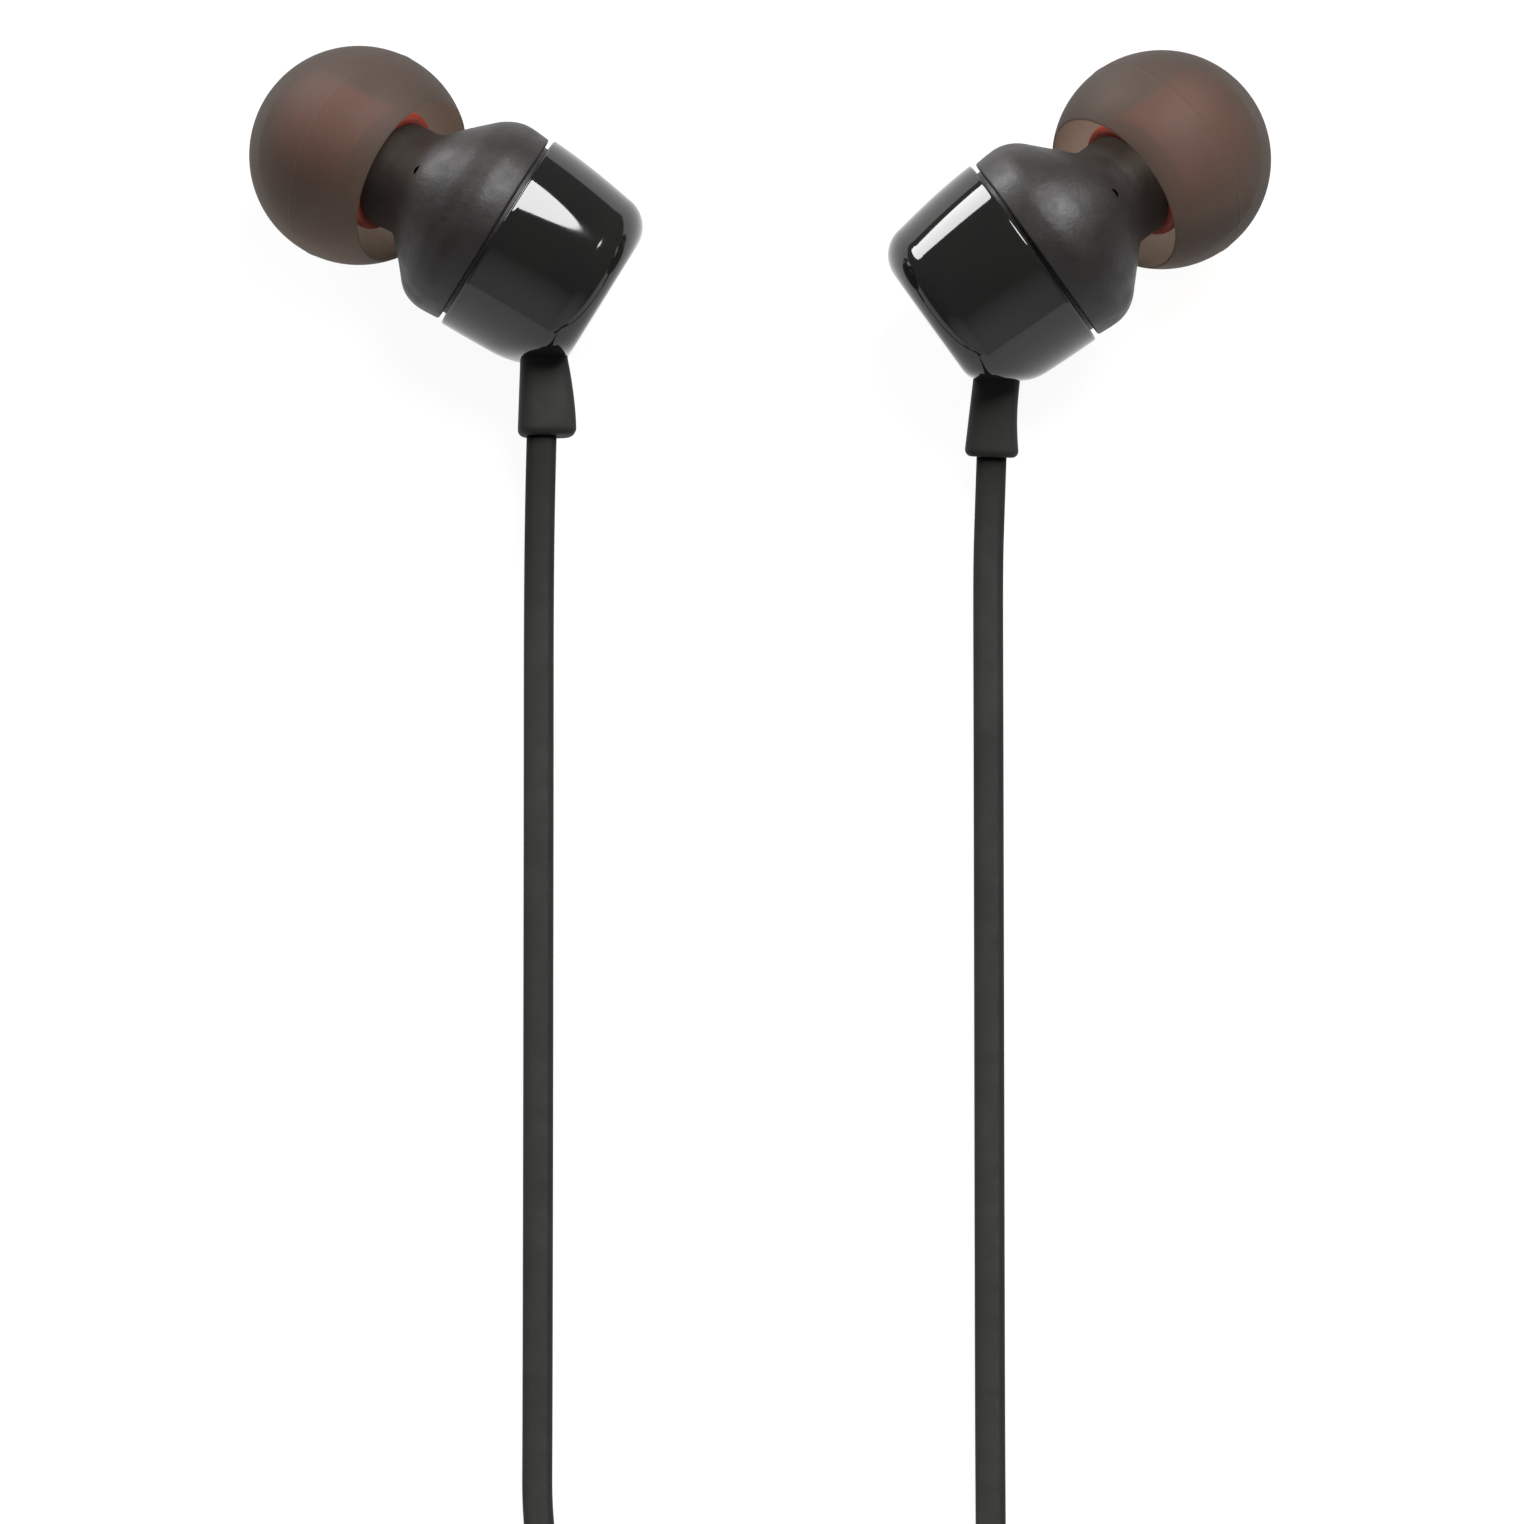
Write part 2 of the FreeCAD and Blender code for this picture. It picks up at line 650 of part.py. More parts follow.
def remote():
    at = Placement(Vector(size("remote_x"), size("remote_top_y"), 0), Rotation())
    wall = size("remote_wall")
    split = size("remote_split")
    top_start = split + size("remote_split_gap")

    def cavity(name, height, lift):
        space = part("Box", name, Length="remote_width - 2 * remote_wall",
                     Width="remote_length - 2 * remote_wall", Height=height)
        corner = Vector(-size("remote_width") / 2 + wall, -size("remote_length") + wall, lift)
        space.Placement = Placement(corner, Rotation())
        return space

    lower = remote_block("remote_lower_block", "0", "remote_split")
    lower_round = rounded("remote_lower_round", lower, "remote_round",
                          lambda edge: edge.BoundBox.ZMin < split / 2)
    lower_space = cavity("remote_lower_space", "remote_split", wall)
    keep(cut("remote_lower", lower_round, lower_space), "remote_bottom_shell", at)

    upper = remote_block("remote_upper_block", "remote_split + remote_split_gap", "remote_height")
    upper_tall = size("remote_height") - top_start
    upper_round = rounded("remote_upper_round", upper, "remote_round",
                          lambda edge: edge.BoundBox.ZMax > upper_tall / 2)
    upper_height = "remote_height - remote_split - remote_split_gap - remote_wall"
    upper_space = cavity("remote_upper_space", upper_height, 0)
    window = part("Box", "remote_window", Length="button_width + 2 * button_gap",
                  Width="button_length + 2 * button_gap", Height="remote_height")
    middle = -size("remote_length") / 2
    window_corner = Vector(-size("button_width") / 2 - size("button_gap"),
                           middle - size("button_length") / 2 - size("button_gap"), 0)
    window.Placement = Placement(window_corner, Rotation())
    sound_hole = part("Cylinder", "remote_sound_hole", Radius="vent_radius", Height="remote_height")
    sound_hole.Placement = Placement(Vector(0, middle + size("microphone_place"), 0), Rotation())
    upper_tools = fuse("remote_upper_tools", upper_space, window, sound_hole)
    raised = at.multiply(Placement(Vector(0, 0, top_start), Rotation()))
    keep(cut("remote_upper", upper_round, upper_tools), "remote_top_shell", raised)

    flange_top = size("remote_height") - wall - size("button_flange_gap")
    flange_low = flange_top - size("button_flange_thickness")
    flange = part("Box", "button_flange_plate", Length="button_width + 2 * button_flange",
                  Width="button_length + 2 * button_flange", Height="button_flange_thickness")
    flange_side = -size("button_width") / 2 - size("button_flange")
    flange_near = middle - size("button_length") / 2 - size("button_flange")
    flange.Placement = Placement(Vector(flange_side, flange_near, flange_low), Rotation())
    cap = part("Box", "button_cap", Length="button_width", Width="button_length",
               Height="remote_wall + button_proud + button_flange_thickness")
    cap_near = middle - size("button_length") / 2
    cap.Placement = Placement(Vector(-size("button_width") / 2, cap_near, flange_low), Rotation())
    nub = part("Cylinder", "button_nub", Radius="nub_radius", Height="nub_length + nub_overlap")
    nub.Placement = Placement(Vector(0, middle, flange_low - size("nub_length")), Rotation())
    keep(fuse("button", flange, cap, nub), "remote_button", at)

    board_low = split - size("remote_board_thickness")
    board = part("Box", "remote_circuit", Length="remote_width - 2 * remote_wall - 2 * remote_board_gap",
                 Width="remote_length - 2 * remote_wall - 2 * remote_board_gap",
                 Height="remote_board_thickness")
    edge = wall + size("remote_board_gap")
    board_corner = Vector(edge - size("remote_width") / 2, edge - size("remote_length"), board_low)
    board.Placement = Placement(board_corner, Rotation())
    keep(board, "remote_board", at)
    switch = part("Box", "dome_switch", Length="switch_size", Width="switch_size", Height="switch_height")
    switch.Placement = Placement(Vector(-size("switch_size") / 2, middle - size("switch_size") / 2, split),
                                 Rotation())
    keep(switch, "remote_switch", at)
    microphone = part("Box", "microphone_can", Length="microphone_length", Width="microphone_length",
                      Height="microphone_height")
    half = size("microphone_length") / 2
    microphone_near = middle + size("microphone_place") - half
    microphone.Placement = Placement(Vector(-half, microphone_near, split), Rotation())
    keep(microphone, "remote_microphone", at)


def splitter():
    block = part("Box", "splitter_block", Length="splitter_width", Width="splitter_length",
                 Height="splitter_height")
    soft = rounded("splitter_soft", block, "splitter_round", lambda edge: True)
    corner = Vector(-size("splitter_width") / 2, size("splitter_top_y") - size("splitter_length"), 0)
    keep(soft, "splitter", Placement(corner, Rotation()))


# Plug


def plug():
    at = Placement(Vector(size("plug_x"), size("plug_y"), size("plug_height")), Rotation())

    def on_plug(distance):
        return at.multiply(Placement(Vector(distance, 0, 0), Rotation()))

    relief = turned("plug_relief_sleeve", [
        (None, None),
        (None, "plug_relief_small"),
        ("plug_relief_length", "plug_relief_large"),
        ("plug_relief_length", None),
    ])
    keep(relief, "plug_strain_relief", at)
    body_start = size("plug_relief_length")
    grip = turned("plug_grip", [
        (None, None),
        (None, "plug_body_radius"),
        ("plug_body_length", "plug_body_radius"),
        ("plug_body_length", None),
    ])
    round_corner(grip, "plug_back_round", "plug_body_round", (0, size("plug_body_radius")))
    front_corner = (size("plug_body_length"), size("plug_body_radius"))
    round_corner(grip, "plug_front_round", "plug_body_round", front_corner)
    keep(grip, "plug_body", on_plug(body_start))

    pin_start = body_start + size("plug_body_length")
    collar = size("plug_collar_length")
    contact_ring = size("plug_ring_length")
    sleeve = size("plug_sleeve_length")
    starts = [sleeve, sleeve + collar + contact_ring, sleeve + 2 * (collar + contact_ring)]
    core_length = "plug_sleeve_length + 2 * plug_ring_length + 3 * plug_collar_length"
    core = part("Cylinder", "plug_core", along_x(), Radius="plug_core_radius", Height=core_length)
    collars = []
    for number, start in enumerate(starts, start=1):
        piece = part("Cylinder", "plug_collar_%d" % number, along_x(start),
                     Radius="plug_pin_radius", Height="plug_collar_length")
        collars.append(piece)
    keep(fuse("plug_insulation", core, *collars), "plug_insulator", on_plug(pin_start))
    contacts = (
        ("plug_sleeve_contact", "plug_sleeve_length", 0.0),
        ("plug_ring_2", "plug_ring_length", sleeve + collar),
        ("plug_ring_1", "plug_ring_length", sleeve + 2 * collar + contact_ring),
    )
    for label, length, start in contacts:
        band = ring(label + "_band", "plug_pin_radius", "plug_core_radius", length, start)
        keep(band, label, on_plug(pin_start))
    end = turned("plug_end", [
        (None, None),
        (None, "plug_pin_radius"),
        ("plug_tip_shoulder", "plug_pin_radius"),
        ("plug_tip_groove", "plug_tip_neck"),
        ("plug_tip_bulge", "plug_tip_bulge_radius"),
        ("plug_tip_length", "plug_tip_end"),
        ("plug_tip_length", None),
    ])
    keep(end, "plug_tip", on_plug(pin_start + starts[-1] + collar))


# The routes of the cords, by hand, in millimetres.

LEFT_LEAD = [
    (-11.55, -13.1, 1.95),
    (-11.65, -15.9, 1.2),
    (-11.73, -19.5, 0.7),
    (-11.76, -24.0, 0.6),
    (-11.80, -74.0, 0.6),
    (-10.60, -79.2, 0.6),
    (-7.30, -83.2, 0.8),
]
LEFT_TAIL = [
    (-4.75, -90.0, 2.4),
    (-4.70, -94.5, 2.2),
    (-4.40, -99.5, 1.3),
    (-3.80, -105.5, 0.65),
    (-2.70, -113.0, 0.7),
    (-1.70, -118.5, 1.2),
    (-1.40, -123.0, 1.45),
]
RIGHT_LEAD_UPPER = [
    (12.30, -13.7, 1.05),
    (12.20, -16.1, 0.7),
    (12.17, -19.6, 0.6),
    (12.20, -69.0, 0.6),
    (12.19, -74.0, 1.0),
    (12.17, -78.0, 1.6),
]
RIGHT_LEAD_LOWER = [
    (12.17, -104.0, 1.6),
    (11.90, -106.4, 1.5),
    (10.60, -109.4, 1.0),
    (7.90, -112.6, 0.8),
]
RIGHT_TAIL = [
    (6.60, -114.4, 2.4),
    (3.70, -117.9, 2.0),
    (1.75, -120.6, 1.5),
    (1.40, -123.0, 1.45),
]
MAIN_LEAD = [
    (0.00, -133.0, 1.6),
    (-0.10, -136.2, 1.5),
    (-2.90, -140.5, 1.3),
]
MAIN_TAIL = [
    (-7.20, -154.9, 3.65),
    (-8.20, -159.8, 3.65),
    (-11.30, -164.8, 3.6),
    (-12.20, -169.6, 3.5),
    (-10.40, -173.0, 3.4),
    (-7.00, -174.0, 3.4),
]

earpiece("left", 1)
earpiece("right", -1)
for side_name, side_hand in (("left", 1), ("right", -1)):
    print(side_name, "cord exit", cord_exit(side_name, side_hand))
coil("left", "lead")
coil("right", "lead")
coil("main", "main")
cord("left_lead", cord_exit("left", 1) + LEFT_LEAD, "lead_diameter")
cord("left_lead_tail", LEFT_TAIL, "lead_diameter")
cord("right_lead_upper", cord_exit("right", -1) + RIGHT_LEAD_UPPER, "lead_diameter")
cord("right_lead_lower", RIGHT_LEAD_LOWER, "lead_diameter")
cord("right_lead_tail", RIGHT_TAIL, "lead_diameter")
cord("main_lead", MAIN_LEAD, "main_diameter")
cord("main_tail", MAIN_TAIL, "main_diameter")
remote()
splitter()
plug()
doc.recompute()

faults = []
for item in doc.Objects:
    if "Invalid" in item.State or "Error" in item.State:
        faults.append("%s is %s" % (item.Name, item.State))
for node in nodes:
    if node.Shape.isNull() or not node.Shape.isValid():
        faults.append("%s has no valid shape" % node.Label)
if faults:
    raise RuntimeError("; ".join(faults))

os.makedirs("parts", exist_ok=True)
for node in nodes:
    node.Shape.exportStep("parts/%s.step" % node.Label)
print(len(nodes), "sub-parts written")
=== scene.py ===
import json
import math

import bmesh
import bpy
from mathutils import Matrix, Vector


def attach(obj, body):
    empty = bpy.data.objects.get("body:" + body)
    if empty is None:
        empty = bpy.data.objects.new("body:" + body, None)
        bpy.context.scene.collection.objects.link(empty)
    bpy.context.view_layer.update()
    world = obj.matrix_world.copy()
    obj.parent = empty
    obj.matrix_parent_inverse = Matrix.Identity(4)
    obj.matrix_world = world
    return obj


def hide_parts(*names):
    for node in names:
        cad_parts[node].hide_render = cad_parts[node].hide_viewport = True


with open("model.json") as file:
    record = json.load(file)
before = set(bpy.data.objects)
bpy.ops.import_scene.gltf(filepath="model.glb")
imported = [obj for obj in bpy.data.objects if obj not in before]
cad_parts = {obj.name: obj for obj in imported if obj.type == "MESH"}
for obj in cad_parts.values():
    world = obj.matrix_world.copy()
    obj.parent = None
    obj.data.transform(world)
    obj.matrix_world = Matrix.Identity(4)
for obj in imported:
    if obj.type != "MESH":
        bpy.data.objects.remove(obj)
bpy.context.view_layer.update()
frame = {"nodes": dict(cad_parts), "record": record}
nodes = frame["nodes"]

MM = 0.001

# Where each earpiece lies, in millimetres and degrees. Its own frame has its origin in the seam's centre,
# +X along the housing towards the ear, +Z up, and the nozzle bends towards -Z. The exit is the angle from -X to
# its cord, and the hand is 1 where the cord leaves towards +Y.
LEAN = 27.0
EARPIECES = {
    "left": {"seam": (-14.10, 0.57, 6.85), "tilt": 148.1, "roll": 9.5, "exit": 58.0, "hand": 1},
    "right": {"seam": (14.65, -0.86, 7.25), "tilt": 35.9, "roll": 0.0, "exit": 52.0, "hand": -1},
}
BEND_START = 3.7
BEND_ANGLE = 30.0
DOME_REACH = 5.35
FACET_DISTANCE = 6.97
EXIT_NEAR = Vector((-5.8, 4.5, 0))


def turn(axis, degrees):
    return Matrix.Rotation(math.radians(degrees), 4, axis)


def span(start, end, steps):
    return [start + (end - start) * step / steps for step in range(steps + 1)]


def smooth_step(value):
    share = min(1.0, max(0.0, value))
    return share * share * (3 - 2 * share)


def arc(along, out, radius, start, end, steps):
    """Points of an arc about (along, out), in degrees from the axis' direction."""
    angles = [math.radians(angle) for angle in span(start, end, steps)]
    return [(along + radius * math.cos(angle), out + radius * math.sin(angle)) for angle in angles]


def polar(radius, degrees):
    angle = math.radians(degrees)
    return radius * math.cos(angle), radius * math.sin(angle)


def housing_frame(side):
    """From an earpiece's own millimetres to metres in the part's frame."""
    lie = EARPIECES[side]
    seam = Matrix.Translation(Vector(lie["seam"]) * MM)
    return seam @ turn("X", LEAN) @ turn("Z", lie["tilt"]) @ turn("X", lie["roll"]) @ Matrix.Scale(MM, 4)


def nozzle_frame(side):
    return housing_frame(side) @ Matrix.Translation((BEND_START, 0, 0)) @ turn("Y", BEND_ANGLE)


def dome_frame(side):
    return nozzle_frame(side) @ Matrix.Translation((DOME_REACH, 0, 0))


def exit_direction(side):
    """Where an earpiece's cord points, in the housing's own frame: square to the facet."""
    lie = EARPIECES[side]
    return turn("Z", lie["hand"] * (180 - lie["exit"])) @ Vector((1, 0, 0))


def exit_frame(side):
    """The frame of the cord's exit: its origin on the facet, +X out of it and +Y along the facet."""
    lie = EARPIECES[side]
    out = exit_direction(side)
    near = Vector((EXIT_NEAR.x, lie["hand"] * EXIT_NEAR.y, 0))
    start = Matrix.Translation(near + out * (FACET_DISTANCE - near.dot(out)))
    return housing_frame(side) @ start @ turn("Z", lie["hand"] * (180 - lie["exit"]))


# Camera

VIEW_CENTRE = Vector((0.10, -27.73, 0.0)) * MM
VIEW_WIDTH = 81.06 * MM
ELEVATION = 63.0
LENS = 1500
SENSOR_WIDTH = 36
CLIP_START = 0.01
CLIP_END = 100


def make_camera():
    data = bpy.data.cameras.new("camera")
    data.lens = LENS
    data.sensor_width = SENSOR_WIDTH
    camera = bpy.data.objects.new("camera", data)
    bpy.context.scene.collection.objects.link(camera)
    rise = math.radians(ELEVATION)
    back = Vector((0, -math.cos(rise), math.sin(rise)))
    distance = VIEW_WIDTH * data.lens / data.sensor_width
    camera.location = VIEW_CENTRE + back * distance
    camera.rotation_mode = "QUATERNION"
    camera.rotation_quaternion = (-back).to_track_quat("-Z", "Y")
    data.clip_start = CLIP_START
    data.clip_end = CLIP_END
    bpy.context.scene.camera = camera


# Cords, in millimetres. A size is a width and a thickness. A coil's reach is the radius around its middle in
# which the cord stands on its edge, and its layers are the heights of the cord's middle in its two layers.

LEAD_SIZE = (1.60, 1.16)
LEAD_COIL = {"radius": 9.0, "pitch": 1.25, "layers": (0.80, 2.40), "reach": 11}
MAIN_SIZE = (2.4, 1.38)
MAIN_COIL = {"radius": 13.5, "pitch": 1.45, "layers": (1.225, 3.675), "reach": 17}
LEFT_COIL_PLACE = (-15.0, -90.0)
RIGHT_COIL_PLACE = (15.5, -119.5)
MAIN_COIL_PLACE = (9.5, -152.0)
COIL_STEP = 22.5
CLIMB_ANGLE = 50
EDGE_FADE = 7
CORD_ROUND = 0.42
CORD_ROUND_STEPS = 5
QUARTERS = ((1, 1, 0), (-1, 1, 90), (-1, -1, 180), (1, -1, 270))


def coil(kind, centre, start, angle_wound, hand):
    """The points of a wound coil: one layer winds inwards from the start angle, the next winds outwards."""
    points = []
    steps = round(angle_wound / COIL_STEP)
    half_span = kind["pitch"] * angle_wound / 720 / 2
    low, high = kind["layers"]
    for step in range(steps + 1):
        share = step / steps
        inward = min(share, 1 - share) * 2
        radius = kind["radius"] + half_span - 2 * half_span * inward
        climb = min(1, max(0, (share - 0.5) * angle_wound / CLIMB_ANGLE + 0.5))
        height = low + (high - low) * climb
        angle = math.radians(start + hand * angle_wound * share)
        points.append((centre[0] + radius * math.cos(angle), centre[1] + radius * math.sin(angle), height))
    return points


LEFT_ROUTE = [
    (-11.64, -9.81, 3.05),
    (-11.67, -10.94, 2.66),
    (-11.72, -13.1, 1.95),
    (-11.76, -15.9, 1.2),
    (-11.78, -19.5, 0.7),
    (-11.78, -24.0, 0.6),
    (-11.77, -31.0, 0.6),
    (-11.77, -67.0, 0.6),
    (-11.80, -74.0, 0.75),
    (-10.60, -79.2, 0.95),
] + coil(LEAD_COIL, LEFT_COIL_PLACE, 40.0, 1480.0, -1) + [
    (-4.70, -94.5, 2.2),
    (-4.40, -99.5, 1.3),
    (-3.80, -105.5, 0.65),
    (-2.70, -113.0, 0.7),
    (-1.70, -118.5, 1.2),
    (-1.40, -123.0, 1.45),
]
RIGHT_ROUTE = [
    (12.33, -10.66, 2.26),
    (12.29, -11.73, 1.71),
    (12.22, -13.7, 1.05),
    (12.15, -16.1, 0.7),
    (12.14, -19.6, 0.6),
    (12.15, -26.0, 0.6),
    (12.16, -62.0, 0.6),
    (12.17, -69.0, 0.6),
    (12.19, -74.0, 1.0),
    (12.17, -78.0, 1.6),
    (12.18, -86.0, 1.5),
    (12.18, -96.0, 1.5),
    (12.17, -104.0, 1.6),
    (11.90, -106.4, 1.5),
    (10.60, -109.4, 1.0),
] + coil(LEAD_COIL, RIGHT_COIL_PLACE, 140.0, 1450.0, 1) + [
    (3.70, -117.9, 2.0),
    (1.75, -120.6, 1.5),
    (1.40, -123.0, 1.45),
]
MAIN_ROUTE = [
    (0.00, -133.0, 1.6),
    (-0.10, -136.2, 1.5),
] + coil(MAIN_COIL, MAIN_COIL_PLACE, 140.0, 3290.0, 1) + [
    (-8.20, -159.8, 3.65),
    (-11.30, -164.8, 3.6),
    (-12.20, -169.6, 3.5),
    (-10.70, -173.2, 3.4),
    (-8.30, -174.0, 3.4),
    (-7.00, -174.0, 3.4),
]


def centreline(name, route):
    """The points of one smooth NURBS line through the route, close together."""
    curve = bpy.data.curves.new(name + "_line", "CURVE")
    curve.dimensions = "3D"
    curve.resolution_u = 8
    spline = curve.splines.new("NURBS")
    spline.points.add(len(route) - 1)
    for point, place in zip(spline.points, route):
        point.co = (*(Vector(place) * MM), 1)
    spline.order_u = 3
    spline.use_endpoint_u = True
    holder = bpy.data.objects.new(name + "_line", curve)
    mesh = bpy.data.meshes.new_from_object(holder)
    path = [vertex.co.copy() for vertex in mesh.vertices]
    bpy.data.objects.remove(holder)
    bpy.data.meshes.remove(mesh)
    return path


def stadium(width, thickness):
    """The outline of a flat cord's section: a flat band with well rounded edges."""
    outline = []
    round_part = CORD_ROUND * thickness
    for side_x, side_y, start in QUARTERS:
        for angle in span(start, start + 90, CORD_ROUND_STEPS):
            x, y = polar(round_part, angle)
            outline.append((side_x * (width / 2 - round_part) + x, side_y * (thickness / 2 - round_part) + y))
    return outline


def on_edge_shares(path, coil_place, reach):
    """How far the flat cord stands on its edge at each point: 1 in its coil, 0 away from it."""
    middle = Vector(coil_place) * MM
    gaps = [max(0.0, (Vector((point.x, point.y)) - middle).length - reach * MM) for point in path]
    return [smooth_step(1 - gap / (EDGE_FADE * MM)) for gap in gaps]


def swept(name, path, section, shares):
    """A mesh tube of the section along the path. A share of 1 stands the section on its edge."""
    mesh = bpy.data.meshes.new(name)
    shape = bmesh.new()
    up = Vector((0, 0, 1))
    rings = []
    for index, point in enumerate(path):
        ahead = path[min(index + 1, len(path) - 1)] - path[max(index - 1, 0)]
        ahead.normalize()
        side = ahead.cross(up).normalized()
        top = side.cross(ahead).normalized()
        angle = shares[index] * math.pi / 2
        wide = side * math.cos(angle) + top * math.sin(angle)
        thick = top * math.cos(angle) - side * math.sin(angle)
        rings.append([shape.verts.new(point + wide * x * MM + thick * y * MM) for x, y in section])
    count = len(section)
    for first, second in zip(rings, rings[1:]):
        for k in range(count):
            shape.faces.new((first[k], first[(k + 1) % count], second[(k + 1) % count], second[k]))
    shape.faces.new(rings[0])
    shape.faces.new(reversed(rings[-1]))
    bmesh.ops.recalc_face_normals(shape, faces=shape.faces)
    shape.to_mesh(mesh)
    shape.free()
    for face in mesh.polygons:
        face.use_smooth = True
    piece = bpy.data.objects.new(name, mesh)
    bpy.context.scene.collection.objects.link(piece)
    return piece


def make_cord(name, route, size, coil_place, kind, replaced):
    width, thickness = size
    path = centreline(name, route)
    piece = swept(name, path, stadium(width, thickness), on_edge_shares(path, coil_place, kind["reach"]))
    piece.data.materials.append(MATERIALS["cord_jacket"])
    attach(piece, "set")
    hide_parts(*replaced)


def make_cords():
    splitter = make_splitter()
    ties = {label: make_tie(label) for label in TIES}
    remote = make_remote() + [nodes[label] for label in ("remote_board", "remote_switch", "remote_microphone")]
    contacts = ("plug_insulator", "plug_sleeve_contact", "plug_ring_1", "plug_ring_2", "plug_tip")
    make_cord("left_cord", LEFT_ROUTE, LEAD_SIZE, LEFT_COIL_PLACE, LEAD_COIL,
              ["left_lead", "left_lead_coil", "left_lead_tail"])
    make_cord("right_cord", RIGHT_ROUTE, LEAD_SIZE, RIGHT_COIL_PLACE, LEAD_COIL,
              ["right_lead_upper", "right_lead_lower", "right_lead_coil", "right_lead_tail"])
    plug = make_plug_grips() + [nodes[label] for label in contacts]
    make_cord("main_cord", MAIN_ROUTE, MAIN_SIZE, MAIN_COIL_PLACE, MAIN_COIL,
              ["main_lead", "main_coil", "main_tail"])


# Pieces of the earpieces. Outlines are (along, out) pairs in millimetres about the axis of their frame.


def loft(rings, loop=False):
    """A skin through rings of points. Its ends are closed, unless the last ring joins the first."""
    shape = bmesh.new()
    skins = [[shape.verts.new(point) for point in ring] for ring in rings]
    count = len(rings[0])
    pairs = list(zip(skins, skins[1:]))
    if loop:
        pairs.append((skins[-1], skins[0]))
    for first, second in pairs:
        for k in range(count):
            after = (k + 1) % count
            shape.faces.new((first[k], first[after], second[after], second[k]))
    if not loop:
        for skin in (skins[0], skins[-1]):
            middle = shape.verts.new(sum((vertex.co for vertex in skin), Vector()) / count)
            for k in range(count):
                shape.faces.new((skin[k], skin[(k + 1) % count], middle))
    bmesh.ops.recalc_face_normals(shape, faces=shape.faces)
    return shape


def circle(place, radius, count=128):
    """A circle of points about the X axis of the place."""
    angles = [2 * math.pi * step / count for step in range(count)]
    return [place @ Vector((0, radius * math.cos(angle), radius * math.sin(angle))) for angle in angles]


def turned(place, outline, count, loop=True):
    """The outline turned about the X axis of the place."""
    rings = [circle(place @ Matrix.Translation((along, 0, 0)), out, count) for along, out in outline]
    return loft(rings, loop)


def make_piece(name, shape, slot, body, replaced, crease=40):
    """A piece from a finished shape, which is freed. Edges sharper than the crease angle stay sharp."""
    mesh = bpy.data.meshes.new(name)
    shape.to_mesh(mesh)
    shape.free()
    mesh.polygons.foreach_set("use_smooth", [True] * len(mesh.polygons))
    mesh.set_sharp_from_angle(angle=math.radians(crease))
    mesh.materials.append(MATERIALS[slot])
    piece = bpy.data.objects.new(name, mesh)
    bpy.context.scene.collection.objects.link(piece)
    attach(piece, body)
    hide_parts(*replaced)
    return piece


def bore_out(piece, tool):
    """Cut a hole into a piece with a bmesh tool, which is freed."""
    mesh = bpy.data.meshes.new("tool")
    tool.to_mesh(mesh)
    tool.free()
    cutter = bpy.data.objects.new("tool", mesh)
    bpy.context.scene.collection.objects.link(cutter)
    cut = piece.modifiers.new("bore", "BOOLEAN")
    cut.operation = "DIFFERENCE"
    cut.solver = "EXACT"
    cut.object = cutter
    bpy.context.view_layer.update()
    graph = bpy.context.evaluated_depsgraph_get()
    finished = bpy.data.meshes.new_from_object(piece.evaluated_get(graph))
    piece.modifiers.clear()
    piece.data = finished
    bpy.data.objects.remove(cutter)


# The front housing: lengths along its bent axis from the seam's centre, and radii about it. NECK_END and
# STEM_END are counted from the bend, and BEAD_MIDDLE, MESH_SEAT_DEPTH and BORE_FRONT back from the stem's end.
SEAM = 0.11
SEAM_EDGE = 0.14
FRONT_RADIUS = 5.6
FRONT_SWELL = ((0.5, 0.02), (0.9, 0.05))
SHOULDER_START = 1.25
SHOULDER_SWELL = 0.06
SHOULDER_ROUND = 2.2
SHOULDER_SLOPE = 50
ROOT_ROUND = 1.3
ROOT_END = 5.2
NECK_RADIUS = 2.9
NECK_START_GAP = 0.15
NECK_END = 2.95
NECK_EDGE = 0.12
STEM_RADIUS = 2.0
STEM_ROOT_RADIUS = 2.12
STEM_END = 7.08
STEM_EDGE = 0.08
BEAD_MIDDLE = 0.5
BEAD_HALF = 0.6
BEAD_FRONT = 0.4
BEAD_HEIGHT = 0.12
BEAD_POWER = 0.7
MESH_SEAT_DEPTH = 0.25
MESH_SEAT_RADIUS = 1.72
BORE_RADIUS = 1.5
BORE_FRONT = 0.6
BORE_BACK = 4.4
FUNNEL_RADIUS = 4.0
CAVITY_RADIUS = 4.65
CAVITY_FRONT = 1.55
SPIGOT_RADIUS = 5.15
SPIGOT_END = -1.4
TURN_SPAN = (2.2, 5.3)
VENT_PLACE = 5.0
VENT_HEIGHTS = (3.2, 1.0)
VENT_RADIUS = 0.36


def bent(place, s):
    """The place of the front housing's section at s: on the housing's axis first, then on the nozzle's."""
    share = smooth_step((s - TURN_SPAN[0]) / (TURN_SPAN[1] - TURN_SPAN[0]))
    bend = Matrix.Translation((BEND_START, 0, 0))
    on_nozzle = bend @ turn("Y", BEND_ANGLE) @ Vector((s - BEND_START, 0, 0))
    middle = Vector((s, 0, 0)).lerp(on_nozzle, share)
    return place @ Matrix.Translation(middle) @ turn("Y", BEND_ANGLE * share)


